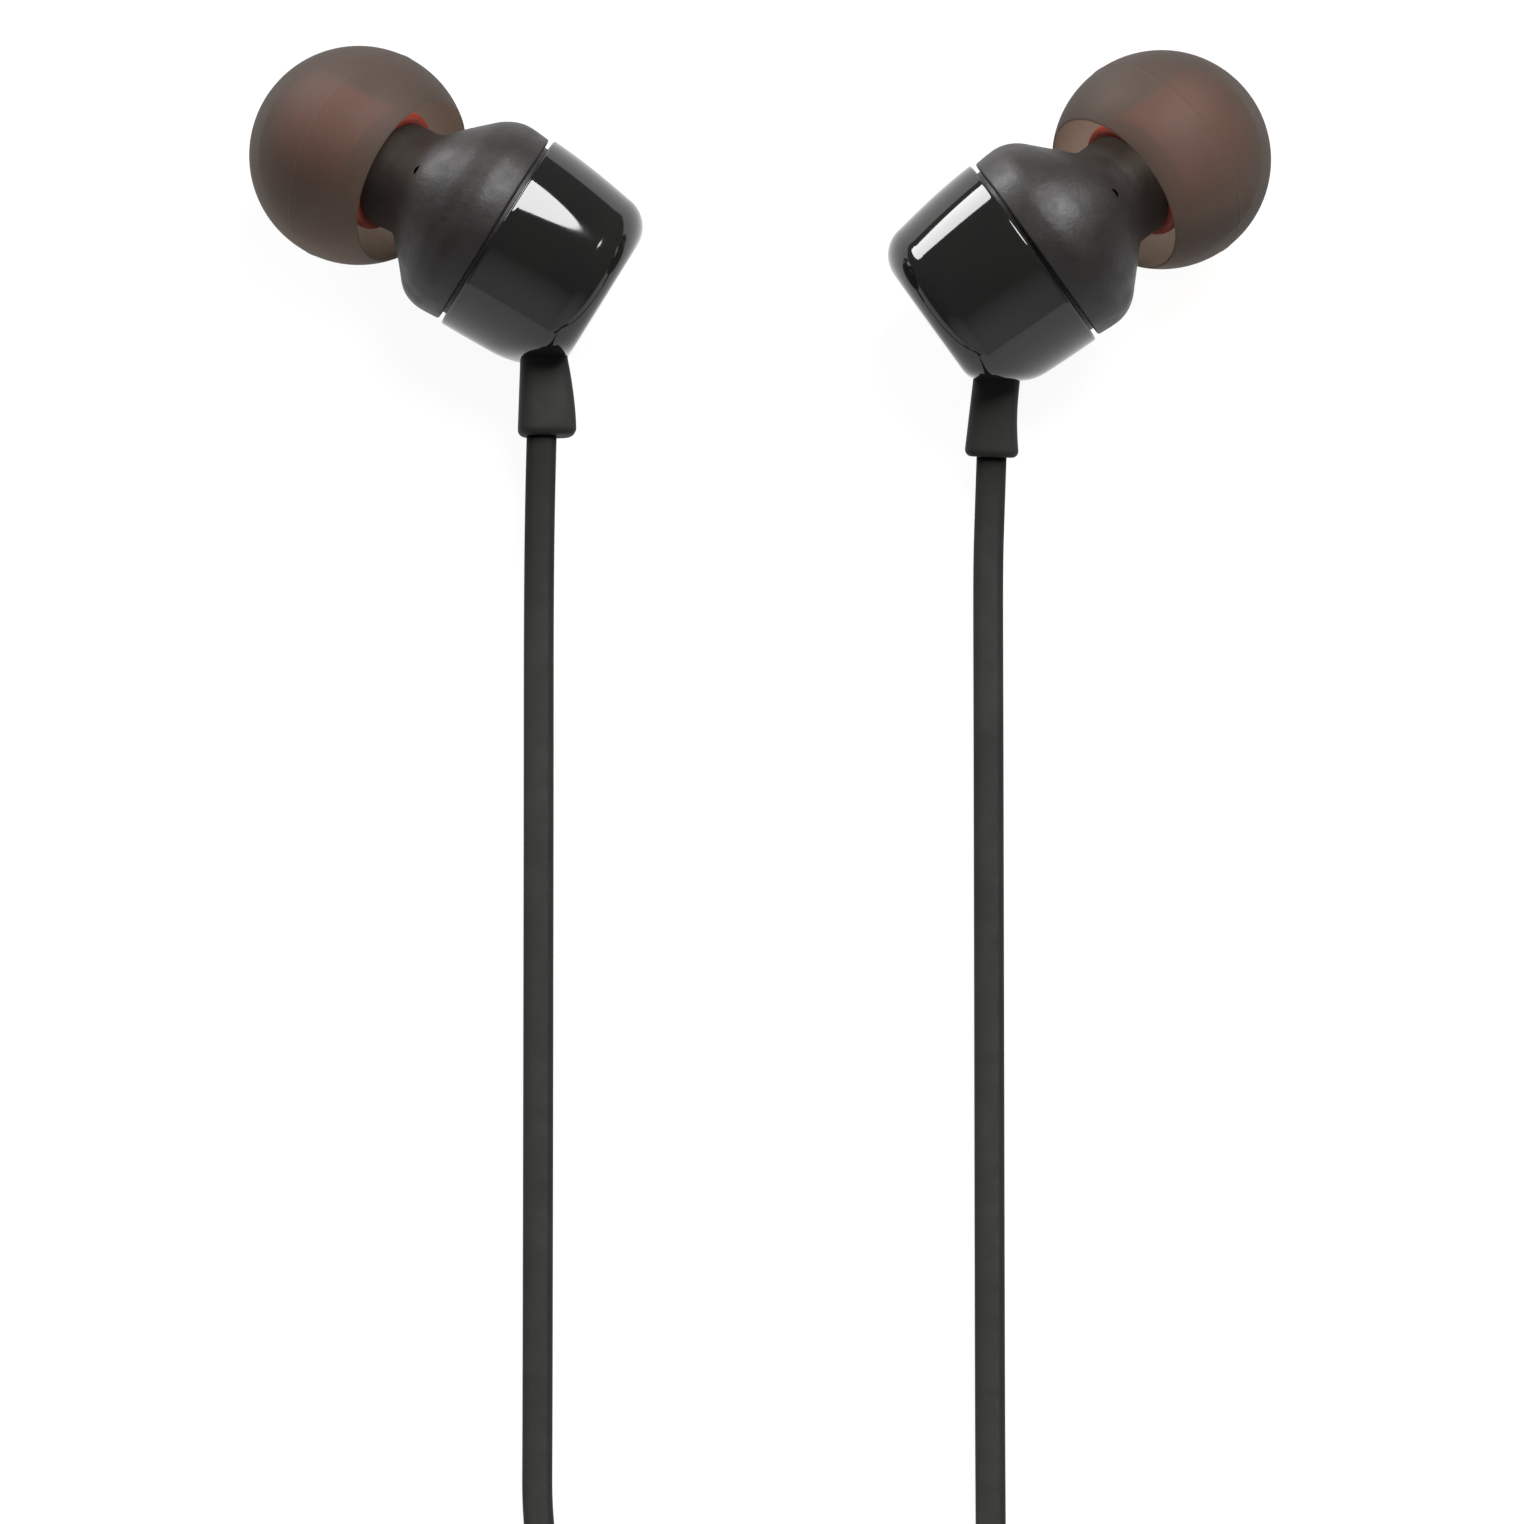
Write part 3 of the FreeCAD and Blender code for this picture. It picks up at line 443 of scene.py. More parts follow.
def front_outline():
    """(s, radius) pairs around the whole shell: shoulder, neck, stem, bore, cavity and spigot."""
    neck_end = BEND_START + NECK_END
    stem_end = BEND_START + STEM_END
    outline = arc(SEAM + SEAM_EDGE, FRONT_RADIUS - SEAM_EDGE, SEAM_EDGE, 180, 90, 5)
    outline += [(s, FRONT_RADIUS + swell) for s, swell in FRONT_SWELL]
    shoulder_centre = FRONT_RADIUS + SHOULDER_SWELL - SHOULDER_ROUND
    outline += arc(SHOULDER_START, shoulder_centre, SHOULDER_ROUND, 90, 90 - SHOULDER_SLOPE, 20)
    root = arc(ROOT_END, NECK_RADIUS + ROOT_ROUND, ROOT_ROUND, 270 - SHOULDER_SLOPE, 270, 16)
    slope_start, slope_end = Vector(outline[-1]), Vector(root[0])
    outline += [tuple(slope_start.lerp(slope_end, share)) for share in span(0.1, 0.9, 8)] + root
    outline += [(s, NECK_RADIUS) for s in span(ROOT_END + NECK_START_GAP, neck_end - NECK_EDGE, 8)[:-1]]
    outline += arc(neck_end - NECK_EDGE, NECK_RADIUS - NECK_EDGE, NECK_EDGE, 90, 0, 4)
    outline.append((neck_end, STEM_ROOT_RADIUS))
    outline += arc(neck_end + NECK_EDGE, STEM_ROOT_RADIUS, NECK_EDGE, 180, 270, 3)
    bead = stem_end - BEAD_MIDDLE
    for s in span(bead - BEAD_HALF, bead + BEAD_FRONT, 14):
        bulge = math.cos(math.pi / 2 * (s - bead) / BEAD_HALF) ** BEAD_POWER
        outline.append((s, STEM_RADIUS + BEAD_HEIGHT * bulge))
    outline += arc(stem_end - STEM_EDGE, STEM_RADIUS - STEM_EDGE, STEM_EDGE, 90, 0, 3)
    seat_floor = stem_end - MESH_SEAT_DEPTH
    outline += [(stem_end, MESH_SEAT_RADIUS), (seat_floor, MESH_SEAT_RADIUS), (seat_floor, BORE_RADIUS)]
    outline += [(s, BORE_RADIUS) for s in span(stem_end - BORE_FRONT, BORE_BACK, 12)]
    outline += [(CAVITY_FRONT, FUNNEL_RADIUS), (CAVITY_FRONT, CAVITY_RADIUS), (SPIGOT_END, CAVITY_RADIUS)]
    outline += [(SPIGOT_END, SPIGOT_RADIUS), (SEAM, SPIGOT_RADIUS)]
    return outline


def make_front_housing(side):
    place = housing_frame(side)
    shape = loft([circle(bent(place, s), radius) for s, radius in front_outline()], loop=True)
    piece = make_piece(side + "_front_shell", shape, "matte_shell", "set", [side + "_front_housing"])
    vent = [place @ Matrix.Translation((VENT_PLACE, 0, height)) @ turn("Y", 90) for height in VENT_HEIGHTS]
    bore_out(piece, loft([circle(ring, VENT_RADIUS, 24) for ring in vent]))


# The rear housing: lengths back from the seam's centre, and radii about the axis.
REAR_RADIUS = 5.72
REAR_LENGTH = 6.86
REAR_BARREL = 0.60
REAR_BARREL_POWER = 1.6
REAR_LEAN = 0.26
REAR_CORNER = 1.75
REAR_CORNER_START = 83
REAR_CROWN = 0.05
REAR_WALL = 0.86
REAR_CREASE = 50
BARREL_START = 0.4
CAVITY_FLOOR_MIDDLE = 0.4
BACK_MIDDLE = 0.3
BACK_EDGE_SHARE = 0.95
CAVITY_CHAMFER = 1.4
SEAT_DEPTH = 1.45
SEAT_RADIUS = 5.2
FACET_EDGE = 0.55


def barrel_radius(along):
    return REAR_RADIUS - REAR_BARREL * (along / REAR_LENGTH) ** REAR_BARREL_POWER


def rear_outline():
    """Inner centre to outer centre, along -X from the seam: a slightly barrelled cup with a round corner."""
    inside = REAR_LENGTH - REAR_WALL
    outline = [(inside, CAVITY_FLOOR_MIDDLE), (inside, CAVITY_RADIUS - CAVITY_CHAMFER)]
    outline += [(inside - CAVITY_CHAMFER, CAVITY_RADIUS), (SEAT_DEPTH, CAVITY_RADIUS)]
    outline += [(SEAT_DEPTH, SEAT_RADIUS), (SEAM, SEAT_RADIUS)]
    outline += arc(SEAM + SEAM_EDGE, REAR_RADIUS - SEAM_EDGE, SEAM_EDGE, 180, 90, 5)
    turn_start = REAR_LENGTH - REAR_CORNER
    outline += [(along, barrel_radius(along)) for along in span(BARREL_START, turn_start, 34)]
    edge = barrel_radius(turn_start) - REAR_CORNER
    outline += arc(turn_start, edge, REAR_CORNER, REAR_CORNER_START, 0, 22)
    for out in span(edge * BACK_EDGE_SHARE, BACK_MIDDLE, 12):
        outline.append((REAR_LENGTH + REAR_CROWN * (1 - out / edge), out))
    return outline


def make_rear_housing(side):
    """The cup, leant a little to one side, with its lower corner pressed in to the facet."""
    shape = turned(turn("Z", 180), rear_outline(), 192, loop=False)
    out = exit_direction(side)
    for vertex in shape.verts:
        back = max(0.0, -vertex.co.x) / REAR_LENGTH
        vertex.co.y += EARPIECES[side]["hand"] * REAR_LEAN * back ** REAR_BARREL_POWER
        reach = vertex.co.dot(out)
        near = max(FACET_EDGE - abs(reach - FACET_DISTANCE), 0.0)
        limited = min(reach, FACET_DISTANCE) - near * near / (4 * FACET_EDGE)
        vertex.co += out * (limited - reach)
    shape.transform(housing_frame(side))
    make_piece(side + "_rear_shell", shape, "gloss_shell", "set", [side + "_rear_housing"], REAR_CREASE)


# The ear tip. Angles are degrees about the dome's centre, from its front. RIM_ANGLE and PARTING_GAP are counted
# from its widest circle. The collar's lengths are counted from the core's back end, and so is the end of the
# core's painted shade.
DOME_RADIUS = 5.85
DOME_WALL = 0.5
RIM_WALL = 0.16
RIM_ANGLE = 37.5
RIM_ROUND_ANGLE = 0.9
THINNING_START = 80
PARTING_LINE = ((89.3, 0.0), (89.7, 0.022), (90.3, 0.022), (90.7, 0.0))
PARTING_GAP = 1.4
SOUND_HOLE = 2.1
HOLE_LIP = 0.22
HOLE_GAP_ANGLE = 2
# The dome's inside faces within these two bounds get a much lighter colour: painted light, for the light that
# shines through the thin wall from behind.
PAINTED_LIGHT_END = 4.4
PAINTED_LIGHT_RIM_SHARE = 0.6
CORE_RADIUS = 3.2
CORE_BORE = 2.17
COLLAR_RADIUS = 3.35
COLLAR_EDGE = 0.3
COLLAR_END = 0.75
COLLAR_FADE = ((1.0, 0.03), (1.2, 0.0))
# The core's back end, up to here, gets a darker red: painted shade where the dome's rim and the neck shade the
# core.
PAINTED_SHADE_END = 0.9
STRAIGHT_START = 1.6


def dome_outline():
    """Around the thin dome: sound hole, outside with its parting line, thin rim, inside and front."""
    lip_middle = DOME_RADIUS - HOLE_LIP
    hole = math.degrees(math.asin((SOUND_HOLE + HOLE_LIP) / lip_middle))
    front = lip_middle * math.cos(math.radians(hole))
    rim = 90 + RIM_ANGLE
    outline = [(front, SOUND_HOLE)]
    outline += arc(front, SOUND_HOLE + HOLE_LIP, HOLE_LIP, 270, 360 + hole, 8)
    outline += [polar(DOME_RADIUS, angle) for angle in span(hole + HOLE_GAP_ANGLE, 90 - PARTING_GAP, 36)]
    outline += [polar(DOME_RADIUS + height, angle) for angle, height in PARTING_LINE]
    outline += [polar(DOME_RADIUS, angle) for angle in span(90 + PARTING_GAP, rim, 28)]
    outline.append(polar(DOME_RADIUS - RIM_WALL / 2, rim + RIM_ROUND_ANGLE))
    meet = math.degrees(math.asin(CORE_RADIUS / (DOME_RADIUS - DOME_WALL)))
    for angle in span(rim, meet, 60):
        thinned = smooth_step((angle - THINNING_START) / (rim - THINNING_START))
        outline.append(polar(DOME_RADIUS - (DOME_WALL + (RIM_WALL - DOME_WALL) * thinned), angle))
    outline.append((outline[-1][0], SOUND_HOLE))
    return outline


def paint(piece, material, place, wanted):
    """Give the faces whose middle, in the place's own millimetres, passes the test a second material."""
    piece.data.materials.append(material)
    back = place.inverted()
    for face in piece.data.polygons:
        if wanted(back @ face.center):
            face.material_index = 1


def make_ear_tip(side):
    place = dome_frame(side)
    shape = turned(place, dome_outline(), 160)
    piece = make_piece(side + "_dome", shape, "silicone_dome", side + "_tip", [side + "_ear_tip"])
    # Painted light: the dome's inside faces get a lighter colour for the light shining through the thin wall.
    inside = DOME_RADIUS - RIM_WALL * PAINTED_LIGHT_RIM_SHARE
    paint(piece, DOME_INSIDE_PAINTED_LIGHT, place, lambda middle: middle.length < inside and middle.x < PAINTED_LIGHT_END)


def make_core(side):
    back = NECK_END - DOME_REACH
    front = math.sqrt((DOME_RADIUS - DOME_WALL) ** 2 - CORE_RADIUS ** 2)
    outline = [(back, CORE_BORE), (back, COLLAR_RADIUS - COLLAR_EDGE)]
    outline += arc(back + COLLAR_EDGE, COLLAR_RADIUS - COLLAR_EDGE, COLLAR_EDGE, 180, 90, 6)
    outline.append((back + COLLAR_END, COLLAR_RADIUS))
    outline += [(back + along, CORE_RADIUS + more) for along, more in COLLAR_FADE]
    outline += [(along, CORE_RADIUS) for along in span(back + STRAIGHT_START, front, 8)]
    outline.append((front, CORE_BORE))
    place = dome_frame(side)
    shape = turned(place, outline, 96)
    piece = make_piece(side + "_core", shape, "silicone_core", side + "_tip", [side + "_ear_tip_core"])
    # Painted shade: a darker red on the core's back end, by the neck.
    paint(piece, CORE_PAINTED_SHADE, place, lambda middle: middle.x < back + PAINTED_SHADE_END)


def oval(width, height, squareness, count=56):
    """A superellipse outline: a squareness of 2 is an ellipse, and more is squarer."""
    points = []
    for step in range(count):
        angle = 2 * math.pi * step / count
        x, y = math.cos(angle), math.sin(angle)
        points.append((math.copysign(abs(x) ** (2 / squareness), x) * width / 2,
                       math.copysign(abs(y) ** (2 / squareness), y) * height / 2))
    return points


# The strain relief. Its flares say how far each of its sides stands out from its start, as functions of the
# share of its length.
RELIEF_ROOT = 0.45
RELIEF_LENGTH = 4.1
RELIEF_ROUND = 0.4
RELIEF_HALF = 1.25
RELIEF_DEPTH = (2.2, 0.2)
RELIEF_SQUARENESS = 3.6
FLARES = {
    "left": (lambda u: 0.17 * u, lambda u: 0.44 * math.sin(math.pi / 2 * u) ** 0.9),
    "right": (lambda u: 0.33 * u, lambda u: 0.10 * u - 0.12 * math.sin(math.pi * u)),
}


def make_strain_relief(side):
    place = exit_frame(side)
    low_side, high_side = FLARES[side]
    round_start = RELIEF_LENGTH - RELIEF_ROUND
    stations = [(along, 0.0) for along in span(-RELIEF_ROOT, round_start, 22)]
    for angle in (math.radians(15 * step) for step in range(1, 7)):
        stations.append((round_start + RELIEF_ROUND * math.sin(angle), RELIEF_ROUND * (1 - math.cos(angle))))
    rings = []
    for along, shrink in stations:
        share = max(0.0, along / RELIEF_LENGTH)
        low = -RELIEF_HALF - low_side(share) + shrink
        high = RELIEF_HALF + high_side(share) - shrink
        depth = RELIEF_DEPTH[0] + RELIEF_DEPTH[1] * share - 2 * shrink
        section = oval(high - low, depth, RELIEF_SQUARENESS)
        rings.append([place @ Vector((along, (low + high) / 2 + y, z)) for y, z in section])
    make_piece(side + "_relief", loft(rings), "soft_sleeve", "set", [side + "_strain_relief"])


def make_earpieces():
    for side in EARPIECES:
        make_front_housing(side)
        make_rear_housing(side)
        make_ear_tip(side)
        make_core(side)
        make_strain_relief(side)


# Pieces on the cords. Their squareness is that of their superellipse sections.

SPLITTER_TOP = -123.0
SPLITTER_LENGTH = 10.0
SPLITTER_MIDDLE = 1.6
SPLITTER_WIDTH = 6.9
SPLITTER_HEIGHT = 3.15
SPLITTER_TAPER = 2.1
SPLITTER_TAPER_START = 0.3
SPLITTER_ROUND = 0.7
SPLITTER_SQUARENESS = 3.2
SPLITTER_STEPS = 40


def make_splitter():
    """A soft wedge: wide where the two leads enter and narrow where the main cord leaves."""
    rings = []
    for share in span(0, 1, SPLITTER_STEPS):
        end = min(share, 1 - share) * SPLITTER_LENGTH
        lip = min(1.0, end / SPLITTER_ROUND)
        shrink = SPLITTER_ROUND * (1 - math.sqrt(max(0.0, 1 - (1 - lip) ** 2)))
        taper = SPLITTER_TAPER * smooth_step((share - SPLITTER_TAPER_START) / (1 - SPLITTER_TAPER_START))
        section = oval(SPLITTER_WIDTH - taper - 2 * shrink, SPLITTER_HEIGHT - 2 * shrink, SPLITTER_SQUARENESS)
        y = SPLITTER_TOP - share * SPLITTER_LENGTH
        rings.append([Vector((x, y, SPLITTER_MIDDLE + z)) * MM for x, z in section])
    return make_piece("splitter_boot", loft(rings), "soft_sleeve", "set", ["splitter"])


# The remote: heights from the table, and insets from its outline or from the button's.
REMOTE_MIDDLE = Vector((12.17, -91.0, 0))
REMOTE_SIZE = (7.0, 26.0)
REMOTE_TOP = 4.6
REMOTE_WALL = 0.75
REMOTE_SQUARENESS = 7
REMOTE_TOP_ROUND = 1.5
REMOTE_BOTTOM_ROUND = 1.2
REMOTE_SPLIT = (2.18, 2.27)
SPLIT_EDGE = 0.06
INNER_CHAMFER = 0.3
MIDDLE_GAP = 0.05
BUTTON_SIZE = (3.2, 9.0)
BUTTON_SQUARENESS = 6
BUTTON_FLANGE = 0.42
BUTTON_FLANGE_HEIGHTS = (3.4, 3.78)
BUTTON_DISH = ((4.75, 0.0), (4.85, 0.05), (4.92, 0.14), (4.94, 0.26), (4.92, 0.42), (4.86, 0.8), (4.84, 1.2))
BUTTON_FLOOR = 4.84
BUTTON_GAP = 0.12
CUT_HEIGHTS = (REMOTE_TOP - 1.4, REMOTE_TOP + 0.8)
SOUND_HOLE_PLACE = Vector((0, 9.0, 0))
SOUND_HOLE_RADIUS = 0.3


def outline_ring(size, squareness, height, inset):
    """A rounded rectangle about the remote's middle at a height, drawn in by the inset."""
    middle = REMOTE_MIDDLE + Vector((0, 0, height))
    outline = oval(size[0] - 2 * inset, size[1] - 2 * inset, squareness, 96)
    return [(middle + Vector((x, y, 0))) * MM for x, y in outline]


def make_remote():
    """Two shells that meet in a fine line round the side, a dished button in its window, and a sound hole."""
    core = REMOTE_SIZE[0] / 2 - MIDDLE_GAP
    low, high = REMOTE_SPLIT
    roof = REMOTE_TOP - REMOTE_WALL
    wall_foot = REMOTE_WALL + INNER_CHAMFER
    top, bottom = REMOTE_TOP_ROUND, REMOTE_BOTTOM_ROUND
    upper = [(roof, core), (roof, wall_foot), (roof - INNER_CHAMFER, REMOTE_WALL), (high, REMOTE_WALL)]
    upper += [(high, SPLIT_EDGE), (high + SPLIT_EDGE, 0.0)]
    upper += [(REMOTE_TOP - top + up, top - side) for side, up in arc(0, 0, top, 0, 90, 12)]
    upper.append((REMOTE_TOP, core))
    lower = [(REMOTE_WALL, core), (REMOTE_WALL, wall_foot), (wall_foot, REMOTE_WALL), (low, REMOTE_WALL)]
    lower += [(low, SPLIT_EDGE), (low - SPLIT_EDGE, 0.0)]
    lower += [(bottom - up, bottom - side) for side, up in arc(0, 0, bottom, 0, 90, 12)]
    lower.append((0.0, core))
    half = BUTTON_SIZE[0] / 2 - MIDDLE_GAP
    flange_floor, flange_top = BUTTON_FLANGE_HEIGHTS
    button = [(flange_floor, half), (flange_floor, -BUTTON_FLANGE), (flange_top, -BUTTON_FLANGE)]
    button += [(flange_top, 0.0), *BUTTON_DISH, (BUTTON_FLOOR, half)]
    shell, cap = (REMOTE_SIZE, REMOTE_SQUARENESS), (BUTTON_SIZE, BUTTON_SQUARENESS)
    pieces = []
    for name, outline, heights, slot, body, replaced in (
            ("remote_upper", shell, upper, "remote_shell", "set", "remote_top_shell"),
            ("remote_lower", shell, lower, "remote_shell", "set", "remote_bottom_shell"),
            ("remote_key", cap, button, "button_cap", "button", "remote_button")):
        shape = loft([outline_ring(*outline, height, inset) for height, inset in heights])
        pieces.append(make_piece(name, shape, slot, body, [replaced]))
    bore_out(pieces[0], loft([outline_ring(*cap, height, -BUTTON_GAP) for height in CUT_HEIGHTS]))
    hole_middles = [REMOTE_MIDDLE + SOUND_HOLE_PLACE + Vector((0, 0, height)) for height in CUT_HEIGHTS]
    upright = Matrix.Scale(MM, 4) @ turn("Y", 90)
    hole_frames = [Matrix.Translation(middle * MM) @ upright for middle in hole_middles]
    bore_out(pieces[0], loft([circle(place, SOUND_HOLE_RADIUS, 24) for place in hole_frames]))
    return pieces


# The plug's soft boot and its grip: lengths from the cord's end along +X.
PLUG_PLACE = Vector((-7.0, -174.0, 3.4))
BOOT_LENGTH = 7.0
BOOT_MOUTH = ((0.0, 0.95), (0.08, 1.15))
BOOT_RADIUS = 1.3
BOOT_FLARE = 1.1
RIB_PITCH = 1.15
RIB_DEPTH = 0.34
RIB_STEEPNESS = 4
RIBBED_SPAN = (0.15, 6.95)
RIBS_END = 6.6
RIBS_FADE = 0.4
GRIP_SPAN = (7.8, 20.2)
GRIP_RADIUS = 3.3
GRIP_EDGE = 0.8
GRIP_EDGE_GAP = 0.2
GRIP_TAPER = 0.10
GRIP_TAPER_START = 12.4
GRIP_TAPER_LENGTH = 5.2
GROOVES = (9.6, 10.7, 11.8, 17.6)
GROOVE_HALF = 0.32
GROOVE_DEPTH = 0.16


def make_plug_grips():
    place = Matrix.Translation(PLUG_PLACE * MM) @ Matrix.Scale(MM, 4)
    relief = list(BOOT_MOUTH)
    for along in span(*RIBBED_SPAN, 68):
        taper = BOOT_RADIUS + BOOT_FLARE * along / BOOT_LENGTH
        wave = 0.5 + 0.5 * math.cos(2 * math.pi * along / RIB_PITCH)
        rib = smooth_step(RIB_STEEPNESS * wave - 1.0)
        relief.append((along, taper - RIB_DEPTH * rib * smooth_step((RIBS_END - along) / RIBS_FADE)))
    relief.append((BOOT_LENGTH, BOOT_RADIUS + BOOT_FLARE))
    sleeve = make_piece("plug_boot", turned(place, relief, 64, loop=False), "soft_sleeve", "set",
                        ["plug_strain_relief"])
    start, end = GRIP_SPAN
    grip = arc(start, GRIP_RADIUS - GRIP_EDGE, GRIP_EDGE, 180, 90, 8)
    for along in span(start + GRIP_EDGE_GAP, end - GRIP_EDGE_GAP, 120):
        groove = max(smooth_step(1 - abs(along - middle) / GROOVE_HALF) for middle in GROOVES)
        taper = GRIP_TAPER * smooth_step((along - GRIP_TAPER_START) / GRIP_TAPER_LENGTH)
        grip.append((along, GRIP_RADIUS - GROOVE_DEPTH * groove - taper))
    grip += arc(end, GRIP_RADIUS - GRIP_TAPER - GRIP_EDGE, GRIP_EDGE, 90, 0, 8)
    body = make_piece("plug_shell", turned(place, grip, 96, loop=False), "matte_shell", "set", ["plug_body"])
    return [sleeve, body]


# The ties: a band's width across its coil and how tall the coil stands there.
TIES = {
    "left_lead_coil_tie": {"coil": LEFT_COIL_PLACE, "radius": LEAD_COIL["radius"], "angle": 205.0,
                           "band": 3.8, "tall": 3.2},
    "right_lead_coil_tie": {"coil": RIGHT_COIL_PLACE, "radius": LEAD_COIL["radius"], "angle": 0.0,
                            "band": 3.8, "tall": 3.2},
    "main_coil_tie": {"coil": MAIN_COIL_PLACE, "radius": MAIN_COIL["radius"], "angle": -20.0,
                      "band": 8.2, "tall": 4.9},
}
TIE_WIDTH = 3.0
TIE_THICKNESS = 0.28
TIE_SQUARENESS = 5
TIE_CORNER = 1.2
TIE_SLACK = 0.35
TIE_RISE = 0.15


def make_tie(label):
    """A soft strap with round corners, right around a coil's band."""
    tie = TIES[label]
    place = Matrix.Translation(Vector((*tie["coil"], 0)) * MM) @ Matrix.Scale(MM, 4) @ turn("Z", tie["angle"])
    half_span = tie["band"] / 2 + TIE_SLACK
    half_tall = tie["tall"] / 2 + TIE_RISE
    section = oval(TIE_WIDTH, TIE_THICKNESS, TIE_SQUARENESS, 24)
    rings = []
    for side_x, side_z, start in QUARTERS:
        middle = Vector((tie["radius"] + side_x * (half_span - TIE_CORNER), 0,
                         half_tall + side_z * (half_tall - TIE_CORNER)))
        for angle in span(start, start + 90, 7):
            x, z = polar(1, angle)
            out = Vector((x, 0, z))
            rings.append([place @ (middle + out * (TIE_CORNER - TIE_RISE + thick) + Vector((0, wide, 0)))
                          for wide, thick in section])
    return make_piece(label + "_strap", loft(rings, loop=True), "tie_band", "set", [label])


# Materials

GRAIN_DEPTH = 0.00002
CLOUD_SCALE = 260
CLOUD_SPAN = (0.35, 0.7)
GLOSS_SCALE = 900
DRAWN_SCALE = 3000
DOME_CLOUD_SCALE = 300
DOME_GRAIN_SCALE = 5000
SCATTERED_COLOUR = (0.36, 0.29, 0.245, 1)
CLEAR_COLOUR = (1.0, 0.92, 0.84, 1)
SHADOW_COLOUR = (0.72, 0.66, 0.60, 1)
SCATTERED_SHARE = 0.20
CLEAR_SPAN = (0.25, 0.90)
CLEAR_SHARES = (0.22, 0.03)
METAL_DARKER = 0.8
METAL_GLOSS = (0.8, 1.3)


def new_material(name):
    material = bpy.data.materials.new(name)
    material.use_nodes = True
    shader = material.node_tree.nodes["Principled BSDF"]
    return material, material.node_tree, shader


def noise(tree, scale, detail, roughness=0.5):
    """A noise in the object's own coordinates, which are metres."""
    coordinates = tree.nodes.new("ShaderNodeTexCoord")
    texture = tree.nodes.new("ShaderNodeTexNoise")
    texture.inputs["Scale"].default_value = scale
    texture.inputs["Detail"].default_value = detail
    texture.inputs["Roughness"].default_value = roughness
    tree.links.new(coordinates.outputs["Object"], texture.inputs["Vector"])
    return texture.outputs["Fac"]


def ramp(tree, source, low, high, first, second):
    """Colours, or greys given as one number, between two places of a factor."""
    node = tree.nodes.new("ShaderNodeValToRGB")
    for element, place, value in zip(node.color_ramp.elements, (low, high), (first, second)):
        element.position = place
        element.color = (*value, 1) if isinstance(value, tuple) else (value, value, value, 1)
    tree.links.new(source, node.inputs["Fac"])
    return node.outputs["Color"]


def bump(tree, shader, source, strength):
    node = tree.nodes.new("ShaderNodeBump")
    node.inputs["Strength"].default_value = strength
    node.inputs["Distance"].default_value = GRAIN_DEPTH
    tree.links.new(source, node.inputs["Height"])
    tree.links.new(node.outputs["Normal"], shader.inputs["Normal"])


def moulded(name, colour, other, roughness, grain, grain_strength, specular=0.5):
    """A moulded plastic or rubber: cloudy colour, uneven gloss and a fine grain."""
    material, tree, shader = new_material(name)
    cloud = noise(tree, CLOUD_SCALE, 4)
    tree.links.new(ramp(tree, cloud, *CLOUD_SPAN, colour, other), shader.inputs["Base Color"])
    gloss = noise(tree, GLOSS_SCALE, 3)
    tree.links.new(ramp(tree, gloss, 0.3, 0.7, *roughness), shader.inputs["Roughness"])
    shader.inputs["Specular IOR Level"].default_value = specular
    bump(tree, shader, noise(tree, grain, 2, 0.6), grain_strength)
    return material


def metal(name, colour, roughness):
    material, tree, shader = new_material(name)
    shader.inputs["Metallic"].default_value = 1.0
    lines = noise(tree, DRAWN_SCALE, 2)
    darker = tuple(channel * METAL_DARKER for channel in colour)
    least, most = (roughness * factor for factor in METAL_GLOSS)
    tree.links.new(ramp(tree, lines, 0.3, 0.7, darker, colour), shader.inputs["Base Color"])
    tree.links.new(ramp(tree, lines, 0.2, 0.8, least, most), shader.inputs["Roughness"])
    return material


def mix(tree, amount, first, second):
    node = tree.nodes.new("ShaderNodeMixShader")
    if isinstance(amount, float):
        node.inputs["Fac"].default_value = amount
    else:
        tree.links.new(amount, node.inputs["Fac"])
    tree.links.new(first, node.inputs[1])
    tree.links.new(second, node.inputs[2])
    return node.outputs["Shader"]


def silicone_dome(name, colour, other):
    """Thin smoky silicone: some light goes straight through a wall and some is scattered through it."""
    material, tree, shader = new_material(name)
    cloud = noise(tree, DOME_CLOUD_SCALE, 3)
    tree.links.new(ramp(tree, cloud, 0.3, 0.7, colour, other), shader.inputs["Base Color"])
    shader.inputs["Roughness"].default_value = 0.60
    shader.inputs["Specular IOR Level"].default_value = 0.22
    bump(tree, shader, noise(tree, DOME_GRAIN_SCALE, 2), 0.10)
    scattered = tree.nodes.new("ShaderNodeBsdfTranslucent")
    scattered.inputs["Color"].default_value = SCATTERED_COLOUR
    clear = tree.nodes.new("ShaderNodeBsdfTransparent")
    clear.inputs["Color"].default_value = CLEAR_COLOUR
    for_shadows = tree.nodes.new("ShaderNodeBsdfTransparent")
    for_shadows.inputs["Color"].default_value = SHADOW_COLOUR
    weight = tree.nodes.new("ShaderNodeLayerWeight")
    weight.inputs["Blend"].default_value = 0.5
    amount = ramp(tree, weight.outputs["Facing"], *CLEAR_SPAN, *CLEAR_SHARES)
    body = mix(tree, SCATTERED_SHARE, shader.outputs["BSDF"], scattered.outputs["BSDF"])
    seen = mix(tree, amount, body, clear.outputs["BSDF"])
    path = tree.nodes.new("ShaderNodeLightPath")
    surface = mix(tree, path.outputs["Is Shadow Ray"], seen, for_shadows.outputs["BSDF"])
    tree.links.new(surface, tree.nodes["Material Output"].inputs["Surface"])
    return material


